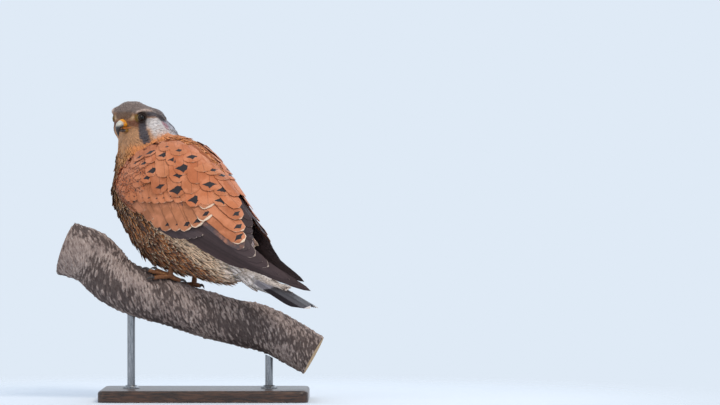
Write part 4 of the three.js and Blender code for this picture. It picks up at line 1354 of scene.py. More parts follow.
for number, (name, settings) in enumerate(COATS.items()):
    loose = name in LOOSE_COATS
    settings = {"Disorder": 0.16 if loose else 0.1, "Seed": 11 + number, "Spotted Share": 0.0, **settings}
    settings["Spacing"] *= MM
    settings["Feather"] = loose_feather if loose else round_feather
    settings["Finish"] = body_finish
    coat = lay_coat(name, body_skin, feather_tree, settings)
    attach(coat, "root")

# The wings
# Each is folded over the back: a bed of flesh and small coverts, with rows of vanes that overlap like slates.
# Coverts, scapulars and tertials are rufous with black spots. The flight feathers are dark with pale rims.
WING_BEND = 80
BED_FALLS = {"side": 0.185, "top": 0.45}
BED_STEP = 2
BED_DEGREES = np.arange(-60, 121, BED_STEP)
BED_DISTANCES = np.arange(-20, WING_BEND + 1, BED_STEP)
RAY_REACH = 93
RAY_STEP = 3
RAY_HALVINGS = 10


def bed_table():
    """How far the body's flesh reaches from the wing's axis, by distance from the wrist and degrees."""
    turn = np.radians(BED_DEGREES)
    out = np.cos(turn)[:, None] * np.array([0, 1, 0]) + np.sin(turn)[:, None] * WING_UP
    start = WRIST + BED_DISTANCES[:, None] * WING_AXIS
    rays = np.arange(0, RAY_REACH, RAY_STEP)
    places = start[:, None, None] + out[None, :, None] * rays[None, None, :, None]
    inside = flesh_distance(places, BODY_LOBES, BODY_BLEND) <= 0
    last = rays[-1] - RAY_STEP * np.argmax(inside[..., ::-1], axis=2)
    low, high = last.astype(float), last + float(RAY_STEP)
    for _ in range(RAY_HALVINGS):
        half = (low + high) / 2
        away = flesh_distance(start[:, None] + out[None] * half[..., None], BODY_LOBES, BODY_BLEND)
        low, high = np.where(away > 0, low, half), np.where(away > 0, half, high)
    return low


BED = bed_table()


def bed_radius(s, degrees):
    """How far out of the wing's axis the flesh reaches, at a distance from the wrist and at some degrees."""
    run = np.minimum(s, WING_BEND) - BED_DISTANCES[0]
    column = np.clip(run / BED_STEP, 0, len(BED_DISTANCES) - 1.001)
    row = np.clip((degrees - BED_DEGREES[0]) / BED_STEP, 0, len(BED_DEGREES) - 1.001)
    i, j = column.astype(int), row.astype(int)
    a, b = column - i, row - j
    near = BED[i, j] * (1 - b) + BED[i, j + 1] * b
    far = BED[i + 1, j] * (1 - b) + BED[i + 1, j + 1] * b
    return near * (1 - a) + far * a


def wing_at(s, degrees, height):
    """A point of the left wing: distance from the wrist, degrees up from the side, height over its bed."""
    s, degrees, height = np.broadcast_arrays(*(np.asarray(v, float) for v in (s, degrees, height)))
    turn = np.radians(degrees)
    out = np.cos(turn)[..., None] * np.array([0, 1, 0]) + np.sin(turn)[..., None] * WING_UP
    falls = BED_FALLS["side"] + (BED_FALLS["top"] - BED_FALLS["side"]) * smooth(20, 80, degrees)
    radius = bed_radius(s, degrees) - falls * np.maximum(0, s - WING_BEND) + height
    return WRIST + s[..., None] * WING_AXIS + out * radius[..., None]


def wing_place(points):
    """The distance from the wrist and the degrees of points near the wing."""
    away = points - WRIST
    return away @ WING_AXIS, np.degrees(np.arctan2(away @ WING_UP, away[..., 1]))


# The bed of each wing is a closed shell, 3 mm thick at its rim, that the rows of feathers are laid on.
BED_STARTS = 2
BED_ENDS = 117
BED_LOW = [-13, -21, -24, -22, -18, -16, -15, -19]
BED_HIGH = [34, 62, 78, 85, 87, 88, 88, 88]
BED_COLUMNS = 96
BED_ROWS = 72
BED_UNDER = 2.5


def bed_height(s, across, degrees):
    """How high the bed stands over the flesh: thin at its rim, and full at the shoulder."""
    front = smooth(-6, 24, s)
    shoulder = 2.6 * small_covert_zone(s, degrees)
    low = smooth(0, 0.16, across)
    high = 1 - (1 - smooth(34, 66, s)) * smooth(0.5, 1, across)
    return 0.8 + (1.8 + shoulder) * front * (0.1 + 0.9 * low) * high


def small_covert_zone(s, degrees):
    """Where the wing's smallest coverts show: over the shoulder and down its front."""
    return smooth(50, 34, s + 0.25 * np.abs(degrees - 12))


def wing_bed_mesh():
    t = np.linspace(0, 1, BED_COLUMNS + 1)[:, None]
    across = np.linspace(0, 1, BED_ROWS + 1)[None, :]
    s = BED_STARTS + (BED_ENDS - BED_STARTS) * t
    low, high = value_between(BED_LOW, t), value_between(BED_HIGH, t)
    degrees = low + (high - low) * across
    s = np.broadcast_to(s, degrees.shape)
    outer = wing_at(s, degrees, bed_height(s, np.broadcast_to(across, degrees.shape), degrees))
    inner = wing_at(s, degrees, -BED_UNDER)
    return shell_between(outer, inner)


def shell_between(outer, inner):
    """A closed shell from two like grids of points."""
    rows, columns = outer.shape[:2]
    points = np.concatenate([outer.reshape(-1, 3), inner.reshape(-1, 3)])
    under = rows * columns

    def at(i, j):
        return i * columns + j

    faces = []
    for i in range(rows - 1):
        for j in range(columns - 1):
            quad = (at(i, j), at(i, j + 1), at(i + 1, j + 1), at(i + 1, j))
            faces.append(quad)
            faces.append(tuple(under + k for k in quad[::-1]))
    rim = [at(0, j) for j in range(columns)] + [at(i, columns - 1) for i in range(1, rows)]
    rim += [at(rows - 1, j) for j in range(columns - 2, -1, -1)] + [at(i, 0) for i in range(rows - 2, 0, -1)]
    for a, b in zip(rim, rim[1:] + rim[:1]):
        faces.append((b, a, under + a, under + b))
    return points, faces


# A vane is a thin shell from its root to its tip. Its width follows a shape, and its lower edge is raised.
VANE_COLUMNS = 21
VANE_ACROSS = np.array([-1, -0.82, -0.5, -0.12, 0, 0.12, 0.5, 0.82, 1])
VANE_THICK = 0.34
VANE_EDGE_THICK = 0.16
SHAFT_HIGH = 0.22
VANE_CAMBER = 0.36
BIRD_MIDDLE = np.array([20, 0, 195])
MARKS = ("tone", "spot", "spot_at", "fringe", "slender", "streak")


def vane_width(t, tip_starts, power, root_share):
    """Half the width along a vane: it fills out from the root and closes in a round or a pointed tip."""
    filled = root_share + (1 - root_share) * smooth(0, 0.4, t)
    closing = np.clip((t - tip_starts) / (1 - tip_starts), 0, 1)
    return filled * np.maximum((1 - closing**power) ** (1 / power), 0.03)


class Feathers:
    """Vanes gathered for one piece: their points, faces, own places and what each is marked with."""

    def __init__(self):
        self.points, self.faces, self.vane, self.colours = [], [], [], []
        self.marks = {name: [] for name in MARKS}
        self.count = 0

    def lay(self, grid, across, along, marks, colour):
        """Adds one vane from its outer grid, with a thickness under it, and its places across and along."""
        normal = np.cross(np.gradient(grid, axis=0), np.gradient(grid, axis=1))
        normal /= np.maximum(np.linalg.norm(normal, axis=2), 1e-9)[..., None]
        outwards = grid.mean(axis=(0, 1)) - BIRD_MIDDLE
        if np.sum(normal.mean(axis=(0, 1)) * outwards) < 0:
            normal = -normal
        edge = np.abs(np.linspace(-1, 1, grid.shape[1]))[None, :, None]
        thick = VANE_THICK + (VANE_EDGE_THICK - VANE_THICK) * edge**2
        points, faces = shell_between(grid, grid - normal * thick)
        start = self.count
        self.points.append(points)
        self.faces.extend(tuple(start + i for i in face) for face in faces)
        self.count += len(points)
        place = np.broadcast_arrays(0.5 + 0.5 * across[None, :], along[:, None])
        self.vane.append(np.tile(np.stack(place, axis=-1).reshape(-1, 2), (2, 1)))
        for name, values in self.marks.items():
            values.append(np.full(len(points), marks.get(name, 0.0)))
        self.colours.append(np.tile(np.array(colour[:3]), (len(points), 1)))

    def piece(self, name, finish, to_world):
        """One mesh piece of all the vanes, with their places and marks kept on it."""
        made = new_piece(name, to_world(np.concatenate(self.points)), self.faces, finish)
        mesh = made.data
        index = mesh_array(mesh, "loops", "vertex_index", 1)[:, 0].astype(int)
        vane = np.concatenate(self.vane)
        mesh.uv_layers.new(name="vane").data.foreach_set("uv", vane[index].astype(np.float32).ravel())
        for mark, values in self.marks.items():
            keep(made, mark, "FLOAT", np.concatenate(values))
        keep(made, "plumage", "FLOAT_COLOR", with_alpha(np.concatenate(self.colours)))
        mesh.set_sharp_from_angle(angle=math.radians(55))
        bake = mesh.uv_layers.new(name="OFBake")
        bake.data.foreach_set("uv", self.baked(index, vane).astype(np.float32).ravel())
        return made

    def baked(self, index, vane):
        """A sheet with a cell for each side of each vane, so that no two share a place."""
        cells = []
        for number, points in enumerate(self.points):
            half = len(points) // 2
            cells += [np.full(half, 2 * number), np.full(len(points) - half, 2 * number + 1)]
        cell = np.concatenate(cells)
        columns = math.ceil(math.sqrt(len(self.points) * 2 * 3))
        rows = math.ceil(len(self.points) * 2 / columns)
        x = (cell % columns + 0.06 + 0.88 * vane[:, 0]) / columns
        y = (cell // columns + 0.04 + 0.92 * vane[:, 1]) / max(rows, 1)
        return np.stack([x, y], axis=1)[index]


MIDPLANE_CLEAR = 0.4


def wing_vane(feathers, root, tip, half, heights, tilt, form, marks, colour, bend=0):
    """Lays one vane on the wing. Root and tip are (distance, degrees), and heights are over the bed."""
    along = np.linspace(0, 1, VANE_COLUMNS) ** 0.85
    start, end = wing_at(*root, 0), wing_at(*tip, 0)
    length = np.linalg.norm(end - start)
    direction = (end - start) / length
    middle = start + (end - start) * along[:, None]
    out = middle - WRIST
    out = unit(out - (out @ WING_AXIS)[:, None] * WING_AXIS)
    sideways = unit(np.cross(out, direction))
    sideways *= np.where(sideways @ WING_UP < 0, -1, 1)[:, None]
    worn = 1 + 0.025 * np.sin(along * 31 + 7 * half) + 0.02 * np.sin(along * 67)
    width = half * vane_width(along, *form) * worn
    bent = middle + sideways * (bend * np.sin(math.pi * along) * 0.5)[:, None]
    flat = bent[:, None] + sideways[:, None] * (VANE_ACROSS[None, :] * width[:, None])[..., None]
    s, degrees = wing_place(flat)
    level = heights[0] + (heights[1] - heights[0]) * along[:, None]
    level = level - tilt * VANE_ACROSS[None, :] * width[:, None]
    level = level + VANE_CAMBER * (1 - VANE_ACROSS[None, :] ** 2) * (0.4 + 0.6 * along[:, None])
    level = level + SHAFT_HIGH * (np.abs(VANE_ACROSS) < 0.01)[None, :] * (1 - 0.6 * along[:, None])
    grid = wing_at(s, degrees, level)
    grid[..., 1] = np.maximum(grid[..., 1], MIDPLANE_CLEAR)
    marks = {"slender": length / half, **marks}
    feathers.lay(grid, VANE_ACROSS, along, marks, colour)


# A row of vanes: sizes run evenly between the values given, from the lowest vane up.
ROUND_TIP = (0.72, 2.0, 0.55)
BROAD_TIP = (0.76, 2.3, 0.6)
POINTED_TIP = (0.6, 1.7, 0.7)
RUFOUS = paint(192, 108, 66)
RUFOUS_PALE = paint(202, 128, 86)
SHOULDER_BROWN = paint(128, 78, 54)
FLIGHT = paint(64, 49, 50)
FLIGHT_GREY = paint(92, 78, 80)
# The tones of a row are two colours, how much of the second its lowest vane has, what is added, and the most
FLIGHT_ROWS = {
    "primaries": {
        "count": 7,
        "roots": {"s": [98, 100], "degrees": [-16, 6]},
        "tips": {"s": [176, 208, 247, 241, 233, 223, 211], "degrees": [-23, -9, 14, 12.5, 11, 9, 6]},
        "half": [4.9, 5.6],
        "heights": [[1.3, 2.8], [1.4, 3.6]],
        "tilt": 0.26,
        "form": POINTED_TIP,
        "fringe": 0.05,
        "tones": (FLIGHT, FLIGHT_GREY, 0, 0.25, 1),
    },
    "secondaries": {
        "count": 4,
        "roots": {"s": [98, 100], "degrees": [9, 25]},
        "tips": {"s": [198, 190, 181, 172], "degrees": [10, 12.5, 15.5, 21]},
        "half": [6.3, 7.0],
        "heights": [[2.9, 3.6], [4.0, 5.4]],
        "tilt": 0.2,
        "form": ROUND_TIP,
        "fringe": [0.2, 0.04, 0.2, 0.04],
        "tones": (FLIGHT, FLIGHT_GREY, 0.2, 0.3, 1),
    },
    "alula": {
        "count": 5,
        "roots": {"s": [58, 76], "degrees": [-20, -6]},
        "tips": {"s": [99, 105, 111, 117, 122], "degrees": [-22.5, -20, -16, -10, -2]},
        "half": [3.6, 4.2],
        "heights": [[1.6, 2.4], [3.4, 4.4]],
        "tilt": 0.22,
        "form": ROUND_TIP,
        "fringe": 0.16,
        "tones": (FLIGHT, FLIGHT_GREY, 0.4, 0.3, 1),
    },
}
TERTIALS = [
    # root (s, degrees), tip (s, degrees), half width, spot size, distance of the spot from the tip
    ((84, 26), (167, 17), 6.6, 0, 1),
    ((80, 36), (164, 27), 7.8, 0.8, 1.05),
    ((78, 48), (155, 44), 8.4, 0.72, 0.9),
    ((76, 60), (144, 61), 8.8, 0.62, 0.9),
    ((78, 70), (134, 72), 8.6, 0.0, 0.9),
    ((82, 80), (124, 83), 8.0, 0.0, 0.9),
]
TERTIAL_FRINGES = [0.1, 0.26, 0.16, 0.12, 0.05, 0.04]
INNER_FLIGHT = [
    # root and tip (s, degrees) of the dark feathers under the tertials
    ((96, 34), (170, 33)),
    ((96, 46), (166, 46)),
    ((96, 58), (160, 60)),
    ((96, 70), (154, 74)),
    ((96, 80), (148, 85)),
]
TERTIAL_HEIGHTS = [[4.2, 5.4], [6.2, 8.0]]
GREATER_COVERTS = {
    "count": 9,
    "roots": {"s": [18, 34, 46, 56, 66, 76, 86, 88, 82], "degrees": [0, 4, 6, 12, 17, 24, 32, 42, 54]},
    "tips": {
        "s": [54, 67, 79, 89, 99, 108, 117, 121, 115],
        "degrees": [-11, -15, -17, -16, -9, -3, 11, 25, 40],
    },
    "half": [6.4, 8.6],
    "heights": [[3.6, 4.6], [6.2, 7.6]],
    "tilt": 0.16,
    "form": BROAD_TIP,
    "spots": [0, 0, 0.2, 0.5, 0.34, 0.6, 0.68, 0.6, 0.36],
    "fringe": [0.06, 0.08, 0.1, 0.12, 0.13, 0.16, 0.22, 0.26, 0.2],
    "tones": (SHOULDER_BROWN, RUFOUS_PALE, 0.3, 2.2, 0.65),
}
MEDIAN_COVERTS = {
    "count": 9,
    "roots": {"s": [20, 36, 50, 66, 78], "degrees": [10, 16, 23, 32, 42]},
    "tips": {"s": [34, 48, 63, 79, 93], "degrees": [-11, -3, 6, 17, 30]},
    "half": [5.0, 6.8],
    "heights": [[4.6, 5.6], [6.6, 8.2]],
    "tilt": 0.14,
    "form": ROUND_TIP,
    "spots": [0.2, 0.26, 0.2, 0.28, 0.24, 0.28, 0.24, 0.34, 0.0],
    "fringe": [0.06] * 9,
    "tones": (RUFOUS, RUFOUS_PALE, 0.5, 0, 1),
    "uneven": 2.2,
}
SCAPULAR_SPOTS = [
    # where the spot lies (s, degrees) and its size against half the feather's width
    (118, 59, 0.91),
    (110, 70, 0.76),
    (97, 82, 0.54),
    (88, 76, 0.61),
    (106, 46, 0),
    (97, 35, 0.91),
    (98, 60, 0.78),
    (84, 56, 0),
    (80, 69, 0),
    (76, 32, 0.93),
    (86, 44, 0),
    (66, 67, 0.68),
    (69, 45, 0.68),
    (68, 53, 0.9),
    (59, 24, 0.56),
    (54, 40, 0),
    (56, 54, 0.81),
    (52, 63, 0.49),
    (42, 26, 0.73),
    (43, 34, 0.81),
    (43, 52, 0.85),
    (39, 60, 0.37),
    (34, 44, 0),
    (29, 37, 0.73),
    (27, 49, 0.85),
    (34, 16, 0.32),
    (31, 24, 0.34),
    (18, 41, 0.61),
    (18, 33, 0.49),
    (20, 25, 0),
]
SCAPULAR_LENGTHS = (15, 34)  # from the shoulder's to the last
SCAPULAR_HALVES = (6.2, 9.4)
SCAPULAR_FALLS = 40  # degrees that each is turned down over the wing
SPOT_FROM_TIP = 0.82
chance = np.random.default_rng(5)


def between_ends(values, t):
    return float(value_between(values, t))


def fold_tip(tip, folded):
    """Where a tip lies on this wing, which may be folded a little shorter and lower than the other."""
    s, degrees = tip
    degrees -= folded["lower"] * float(smooth(110, 170, s))
    return (s - folded["shorter"] * float(smooth(170, 246, s)), degrees)


def mixed(first, second, share):
    return tuple(a * (1 - share) + b * share for a, b in zip(first, second))


def row_vanes(row, feathers, folded):
    first, second, start, added, most = row["tones"]
    for i in range(row["count"]):
        t = i / (row["count"] - 1)
        root = (between_ends(row["roots"]["s"], t), between_ends(row["roots"]["degrees"], t))
        tip = (between_ends(row["tips"]["s"], t), between_ends(row["tips"]["degrees"], t))
        heights = [between_ends(row["heights"][0], t), between_ends(row["heights"][1], t)]
        fringe = row["fringe"][i] if isinstance(row["fringe"], list) else row["fringe"]
        marks = {"tone": chance.uniform(-0.5, 0.5), "fringe": fringe, "spot_at": SPOT_FROM_TIP}
        if "spots" in row:
            marks["spot"] = row["spots"][i]
        half = between_ends(row["half"], t)
        tip = fold_tip((tip[0] + chance.uniform(-1, 1) * row.get("uneven", 0), tip[1]), folded)
        colour = mixed(first, second, min(most, start + added * t))
        wing_vane(feathers, root, tip, half, heights, row["tilt"], row["form"], marks, colour)


def tertial_vanes(feathers, folded):
    for i, (root, tip, half, spot, spot_at) in enumerate(TERTIALS):
        t = i / (len(TERTIALS) - 1)
        heights = [between_ends(TERTIAL_HEIGHTS[0], t), between_ends(TERTIAL_HEIGHTS[1], t)]
        fringe = TERTIAL_FRINGES[i]
        marks = {"tone": chance.uniform(-0.5, 0.5), "fringe": fringe, "spot": spot, "spot_at": spot_at}
        colour = mixed(RUFOUS, RUFOUS_PALE, chance.uniform(0, 0.6)) if i else FLIGHT_GREY
        wing_vane(feathers, root, fold_tip(tip, folded), half, heights, 0.15, BROAD_TIP, marks, colour)


def inner_flight_vanes(feathers, folded):
    for root, tip in INNER_FLIGHT[2 if folded["shorter"] else 0 :]:
        marks = {"tone": chance.uniform(-0.5, 0.5), "fringe": 0.05}
        wing_vane(feathers, root, fold_tip(tip, folded), 8.2, [2.4, 3.6], 0.12, ROUND_TIP, marks, FLIGHT)


def scapular_vanes(feathers):
    for s, degrees, spot in SCAPULAR_SPOTS:
        back = float(smooth(15, 75, s))
        half = SCAPULAR_HALVES[0] + (SCAPULAR_HALVES[1] - SCAPULAR_HALVES[0]) * back
        length = SCAPULAR_LENGTHS[0] + (SCAPULAR_LENGTHS[1] - SCAPULAR_LENGTHS[0]) * back
        length *= 1 - 0.25 * float(smooth(50, 72, degrees))
        turned = math.radians(SCAPULAR_FALLS * (0.25 + 0.75 * float(smooth(84, 58, degrees))))
        round_wing = math.degrees(math.sin(turned) / float(bed_radius(s, degrees)))
        past = SPOT_FROM_TIP * half
        tip = (s + past * math.cos(turned), degrees - past * round_wing)
        root = (tip[0] - length * math.cos(turned), min(88, tip[1] + length * round_wing))
        high = float(smooth(56, 80, degrees) * smooth(112, 90, s))
        top = 6.4 + 2.6 * float(smooth(10, 70, s)) - 1.2 * float(smooth(90, 118, s)) - 0.6 * high
        heights = [(top - 3.2 - 1.8 * (1 - back)) * (1 - high) + 0.4 * high, top]
        marks = {"tone": chance.uniform(-0.3, 0.3), "fringe": 0.03, "spot": spot, "spot_at": SPOT_FROM_TIP}
        colour = mixed(RUFOUS, RUFOUS_PALE, chance.uniform(0, 0.8))
        wing_vane(feathers, root, tip, half, heights, 0.1, ROUND_TIP, marks, colour)


COVERT_RIM = paint(236, 214, 190)
COVERT_MARK = paint(40, 34, 38)
COVERT_BLOOM = paint(218, 142, 104)
FLIGHT_RIM = paint(206, 186, 172)
FLIGHT_MARK = paint(40, 30, 30)
covert_finish = plumage_finish("rufous_coverts", COVERT_RIM, COVERT_MARK, 34, lined=0.1, bloom=COVERT_BLOOM)
flight_finish = plumage_finish("flight_feathers", FLIGHT_RIM, FLIGHT_MARK, 28, soft=0.04, lined=0.1)
SMALL_COVERTS = {
    "Part": "covert_part",
    "Spacing": 1.9 * MM,
    "Slender": 3.2,
    "Lift": 0.1,
    "Disorder": 0.08,
    "Spotted Share": 0.3,
    "Fringe": 0.08,
}
LEFT_FOLDED = {"shorter": 0, "lower": 0}
RIGHT_FOLDED = {"shorter": 24, "lower": 16}


def make_wing(side):
    left = side == "left"
    folded = LEFT_FOLDED if left else RIGHT_FOLDED
    mirror = np.array([1, 1 if left else -1, 1])

    def to_world(points):
        return bird_to_world(np.asarray(points) * mirror)

    bed_points, bed_faces = wing_bed_mesh()
    bed = new_piece("wing_bed_" + side, to_world(bed_points), bed_faces, skin_finish)
    count = len(bed_points)
    s, degrees = wing_place(bed_points)
    outer = np.arange(count) < count // 2
    ground = np.tile(np.array(RUFOUS[:3]), (count, 1))
    low_front = smooth(2, -14, degrees + 0.5 * s + 5 * ragged(bed_points, 9, 4))
    keep(bed, "plumage", "FLOAT_COLOR", with_alpha(layer(ground, SHOULDER_BROWN, 0.8 * low_front)))
    keep(bed, "streak", "FLOAT", np.zeros(count))
    fan = WING_AXIS - 0.32 * WING_UP * smooth(40, 0, degrees)[:, None]
    keep(bed, "lie", "FLOAT_VECTOR", (fan * mirror) @ BIRD_TURN.T)
    keep(bed, "length", "FLOAT", (7.0 + 3.5 * smooth(0, 50, s)) * MM)
    keep(bed, "covert_part", "FLOAT", outer * smooth(0.2, 0.6, small_covert_zone(s, degrees)))
    unwrap(bed, "OFBake")
    settings = {**SMALL_COVERTS, "Feather": round_feather, "Finish": covert_finish}
    settings["Seed"] = 31 if left else 32
    small = lay_coat("small_coverts_" + side, bed, feather_tree, settings)
    rufous, dark = Feathers(), Feathers()
    for row in FLIGHT_ROWS.values():
        row_vanes(row, dark, folded)
    inner_flight_vanes(dark, folded)
    tertial_vanes(rufous, folded)
    row_vanes(GREATER_COVERTS, rufous, folded)
    row_vanes(MEDIAN_COVERTS, rufous, folded)
    scapular_vanes(rufous)
    vanes = rufous.piece("rufous_vanes_" + side, covert_finish, to_world)
    flight = dark.piece("flight_feathers_" + side, flight_finish, to_world)
    for piece in (bed, small, vanes, flight):
        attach(piece, "root")
        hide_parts("wing_" + side)


make_wing("left")
make_wing("right")

# The two small feathers that the coats were laid with are patterns, and no pieces
for pattern in (round_feather, loose_feather):
    bpy.data.objects.remove(pattern)

# The tail
# Twelve long grey feathers, folded nearly shut and stacked like a roof, the middle pair on top.
# Each has a broad black band before a narrow white tip, and a dark shaft.
TAIL_TIP = np.array([-131, 0, 98])
TAIL_LENGTH = 92
TAIL_SLOPE = math.radians(14)
TAIL_AXIS = np.array([-0.894, 0, -0.447]) / np.linalg.norm([0.894, 0.447])
TAIL_UP = np.array([TAIL_AXIS[2], 0, -TAIL_AXIS[0]])
TAIL_LAYER = 0.86
TAIL_PAIRS = 6
TAIL_HALF = 8.2
TAIL_COLUMNS = 33
TAIL_GREY = paint(160, 152, 158)
TAIL_SHADE = paint(128, 120, 128)
TAIL_RIM = paint(196, 188, 190)
TAIL_SHAFT = paint(36, 30, 32)
TAIL_BARBS = paint(30, 24, 26)
BAND_DARK = paint(46, 38, 42)
TIP_PALE = paint(214, 204, 198)
BAND_LONG = 47
TIP_LONG = 3.2


def tail_finish():
    material, tree, shader = material_named("tail_feathers", 0.5, 0.3)
    shader.inputs["Sheen Weight"].default_value = 0.12
    across, tip_share = on_vane(tree)
    wave = cloudy(tree, object_place(tree), 0.35, 3)
    from_tip = reckon(tree, "MULTIPLY", tip_share, TAIL_LENGTH)
    reach = reckon(tree, "ADD", from_tip, reckon(tree, "MULTIPLY_ADD", wave, 5, -2.5))
    ground = kept(tree, "plumage", "Color")
    colour = blend(tree, step(tree, kept(tree, "tone"), -0.5, 0.5, 0, 0.3), ground, TAIL_SHADE)
    colour = blend(tree, step(tree, across, 0.72, 1, 0, 0.4), colour, TAIL_RIM)
    in_band = step(tree, reach, BAND_LONG + 1.5, BAND_LONG - 1.5)
    before_tip = step(tree, from_tip, TIP_LONG - 0.6, TIP_LONG + 0.6)
    colour = blend(tree, reckon(tree, "MULTIPLY", in_band, before_tip), colour, BAND_DARK)
    colour = blend(tree, step(tree, from_tip, TIP_LONG, TIP_LONG - 1.2), colour, TIP_PALE)
    colour = blend(tree, step(tree, across, 0.07, 0.03, 0, 0.7), colour, TAIL_SHAFT)
    run = reckon(tree, "MULTIPLY_ADD", across, 26, reckon(tree, "MULTIPLY", from_tip, 3.4))
    lines = reckon(tree, "SINE", reckon(tree, "ADD", run, reckon(tree, "MULTIPLY", wave, 4)))
    colour = blend(tree, step(tree, lines, -0.2, 1, 0, 0.14), colour, TAIL_BARBS)
    tree.links.new(colour, shader.inputs["Base Color"])
    roughen(tree, shader, lines, 0.1, 0.5)
    return material


def tail_vane(feathers, k, side):
    """Lays the feather of the k-th pair, counted from the top, on its side of the tail."""
    along = np.linspace(0, 1, TAIL_COLUMNS)
    shorter = 2.6 * k
    middle = TAIL_TIP + TAIL_AXIS * ((along - 1) * TAIL_LENGTH - shorter * along)[:, None]
    width = TAIL_HALF * (1 - 0.045 * k) * vane_width(along, 0.9 - 0.02 * k, 2.0, 0.62)
    start, end = 5.2 + 0.4 * k, 8.1 + 0.9 * k
    across = VANE_ACROSS[None, :]
    away = (start + (end - start) * along)[:, None] + across * width[:, None]
    level = -TAIL_LAYER * k + 0.25 + 0.28 * (1 - across**2) + 0.22 * (np.abs(across) < 0.01)
    y = away * math.cos(TAIL_SLOPE) + level * math.sin(TAIL_SLOPE)
    up = level * math.cos(TAIL_SLOPE) - away * math.sin(TAIL_SLOPE)
    grid = middle[:, None] + TAIL_UP * up[..., None]
    grid[..., 1] = side * y
    marks = {"tone": chance.uniform(-0.5, 0.5), "slender": TAIL_LENGTH / TAIL_HALF}
    feathers.lay(grid, VANE_ACROSS, along, marks, TAIL_GREY)


tail_feathers = Feathers()
for k in range(TAIL_PAIRS - 1, -1, -1):
    tail_vane(tail_feathers, k, 1)
    tail_vane(tail_feathers, k, -1)
tail = tail_feathers.piece("tail_feathers", tail_finish(), bird_to_world)
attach(tail, "root")
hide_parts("tail")

# The bill, its cere and the bare gape
# The bill is a short hooked horn, black at the tip, with a painted highlight along its ridge and a tooth on
# each cutting edge.
# A waxy yellow cere covers its base, with a round nostril on each side, and the gape is yellow too.
BILL_LINE = [
    (17, 0, -1.8),
    (24.6, 0, -2.2),
    (28.6, 0, -3.8),
    (30.4, 0, -7.4),
    (30.4, 0, -11),
    (29.6, 0, -14.4),
]
BILL_WIDE = [5.2, 5, 4.2, 3, 1.8, 0.35]
BILL_DEEP = [5, 4.8, 4.2, 3.3, 2, 0.35]
BILL_RINGS = 120
BILL_SIDES = 96
CERE_ENDS = 27.2
CERE_PROUD = 0.35
CERE_LAPS = 0.5  # over the horn
HORN_UNDER = 1.2  # the cere
NOSTRIL_AT = np.array([25.3, 4.6, -0.6])
TOOTH_AT = 0.74
JAW_LINE = [(16, 0, -8.9), (23, 0, -9), (28.7, 0, -8.9)]
JAW_WIDE = [4.6, 4, 1.4]
JAW_DEEP = [2.2, 2, 0.9]
GAPE_LINE = [(27, 3.4, -6.4), (25.2, 6.0, -6.6), (23.4, 8.4, -6.3), (21.6, 10.6, -6.0)]
GAPE_THICK = [0.5, 0.7, 0.6, 0.3]
CERE_YELLOW = paint(240, 158, 34)
CERE_SHADE = paint(190, 108, 34)
JAW_YELLOW = paint(176, 132, 56)
HORN_PALE_AND_HIGHLIGHT = paint(206, 200, 186)
HORN_BLUE = paint(128, 130, 136)
HORN_DARK = paint(66, 64, 70)
HORN_TIP = paint(34, 33, 38)
GRIME = paint(60, 42, 30)
GLINT = paint(250, 240, 220)


def coloured_finish(name, roughness, specular, lines, coat):
    """A finish that reads the piece's own colours, with fine lines or pebbles of the given size."""
    material, tree, shader = material_named(name, roughness, specular)
    shader.inputs["Coat Weight"].default_value = coat
    shader.inputs["Coat Roughness"].default_value = 0.18
    grain = cloudy(tree, object_place(tree, stretch=(1, 1, 0.4)), lines, 4)
    colour = blend(tree, step(tree, grain, 0.35, 0.7, 0.28, 0), kept(tree, "tint", "Color"), GRIME)
    colour = blend(tree, step(tree, grain, 0.62, 0.75, 0, 0.16), colour, GLINT)
    tree.links.new(colour, shader.inputs["Base Color"])
    roughen(tree, shader, grain, 0.12, 0.6)
    return material


def tint(piece, colours):
    keep(piece, "tint", "FLOAT_COLOR", with_alpha(colours))


def tube_rings(line, ups, wide, deep, count, sides, shaped=None, rounded=0):
    """Rings along a smooth line. Each is wide across and deep along its up, and a shape may press it."""
    places, along = even_line(line, count + 1)
    t = np.linspace(0, 1, count + 1)
    controls = np.linspace(0, 1, len(ups))
    up = np.stack([np.interp(t, controls, np.array(ups, float)[:, k]) for k in range(3)], axis=1)
    up = unit(up - along * np.sum(up * along, axis=1)[:, None])
    side = np.cross(up, along)
    turn = np.linspace(0, 2 * math.pi, sides, endpoint=False)[None, :]
    w, d = value_between(wide, t)[:, None], value_between(deep, t)[:, None]
    if rounded:
        run = np.concatenate([[0], np.cumsum(np.linalg.norm(np.diff(places, axis=0), axis=1))])[:, None]
        from_end = np.minimum(run, run[-1] - run)
        closing = np.sqrt(np.clip(1 - (1 - np.clip(from_end / rounded, 0, 1)) ** 2, 0.01, 1))
        w, d = w * closing, d * closing
    x, y = w * np.cos(turn), d * np.sin(turn)
    if shaped:
        x, y = shaped(t[:, None], turn, x, y)
    return places[:, None] + side[:, None] * x[..., None] + up[:, None] * y[..., None]


def ringed_piece(name, rings, material, to_world=np.asarray):
    """A closed piece of rings, given in the world's frame or with what turns them into it."""
    points, faces = stacked_rings(list(rings))
    return new_piece(name, to_world(np.array(points)), faces, material)


def mound(away, reach):
    """1 in the middle, and softly less with the distance from it."""
    return np.exp(-((away / reach) ** 2))


def bill_shape(t, turn, x, y):
    """The bill's section: narrower below, keeled along the ridge, with a tooth on each cutting edge."""
    lower = np.clip(-np.sin(turn), 0, 1)
    x = x * (1 - 0.16 * lower**2)
    y = y * (1 - 0.2 * lower) * (1 + 0.06 * np.clip(np.sin(turn), 0, 1) ** 8)
    return x, y - 0.65 * mound(t - TOOTH_AT, 0.035) * mound(lower - 0.75, 0.22)


def nostril(away):
    """How far the cere stands out round a nostril: a pit with a knob in it and a low rim."""
    return -1.5 * mound(away, 0.95) + 0.9 * mound(away, 0.34) + 0.2 * mound(away - 1.5, 0.5)


def share_of(colour, other, share):
    return np.array(colour[:3]) * (1 - share[..., None]) + np.array(other[:3]) * share[..., None]


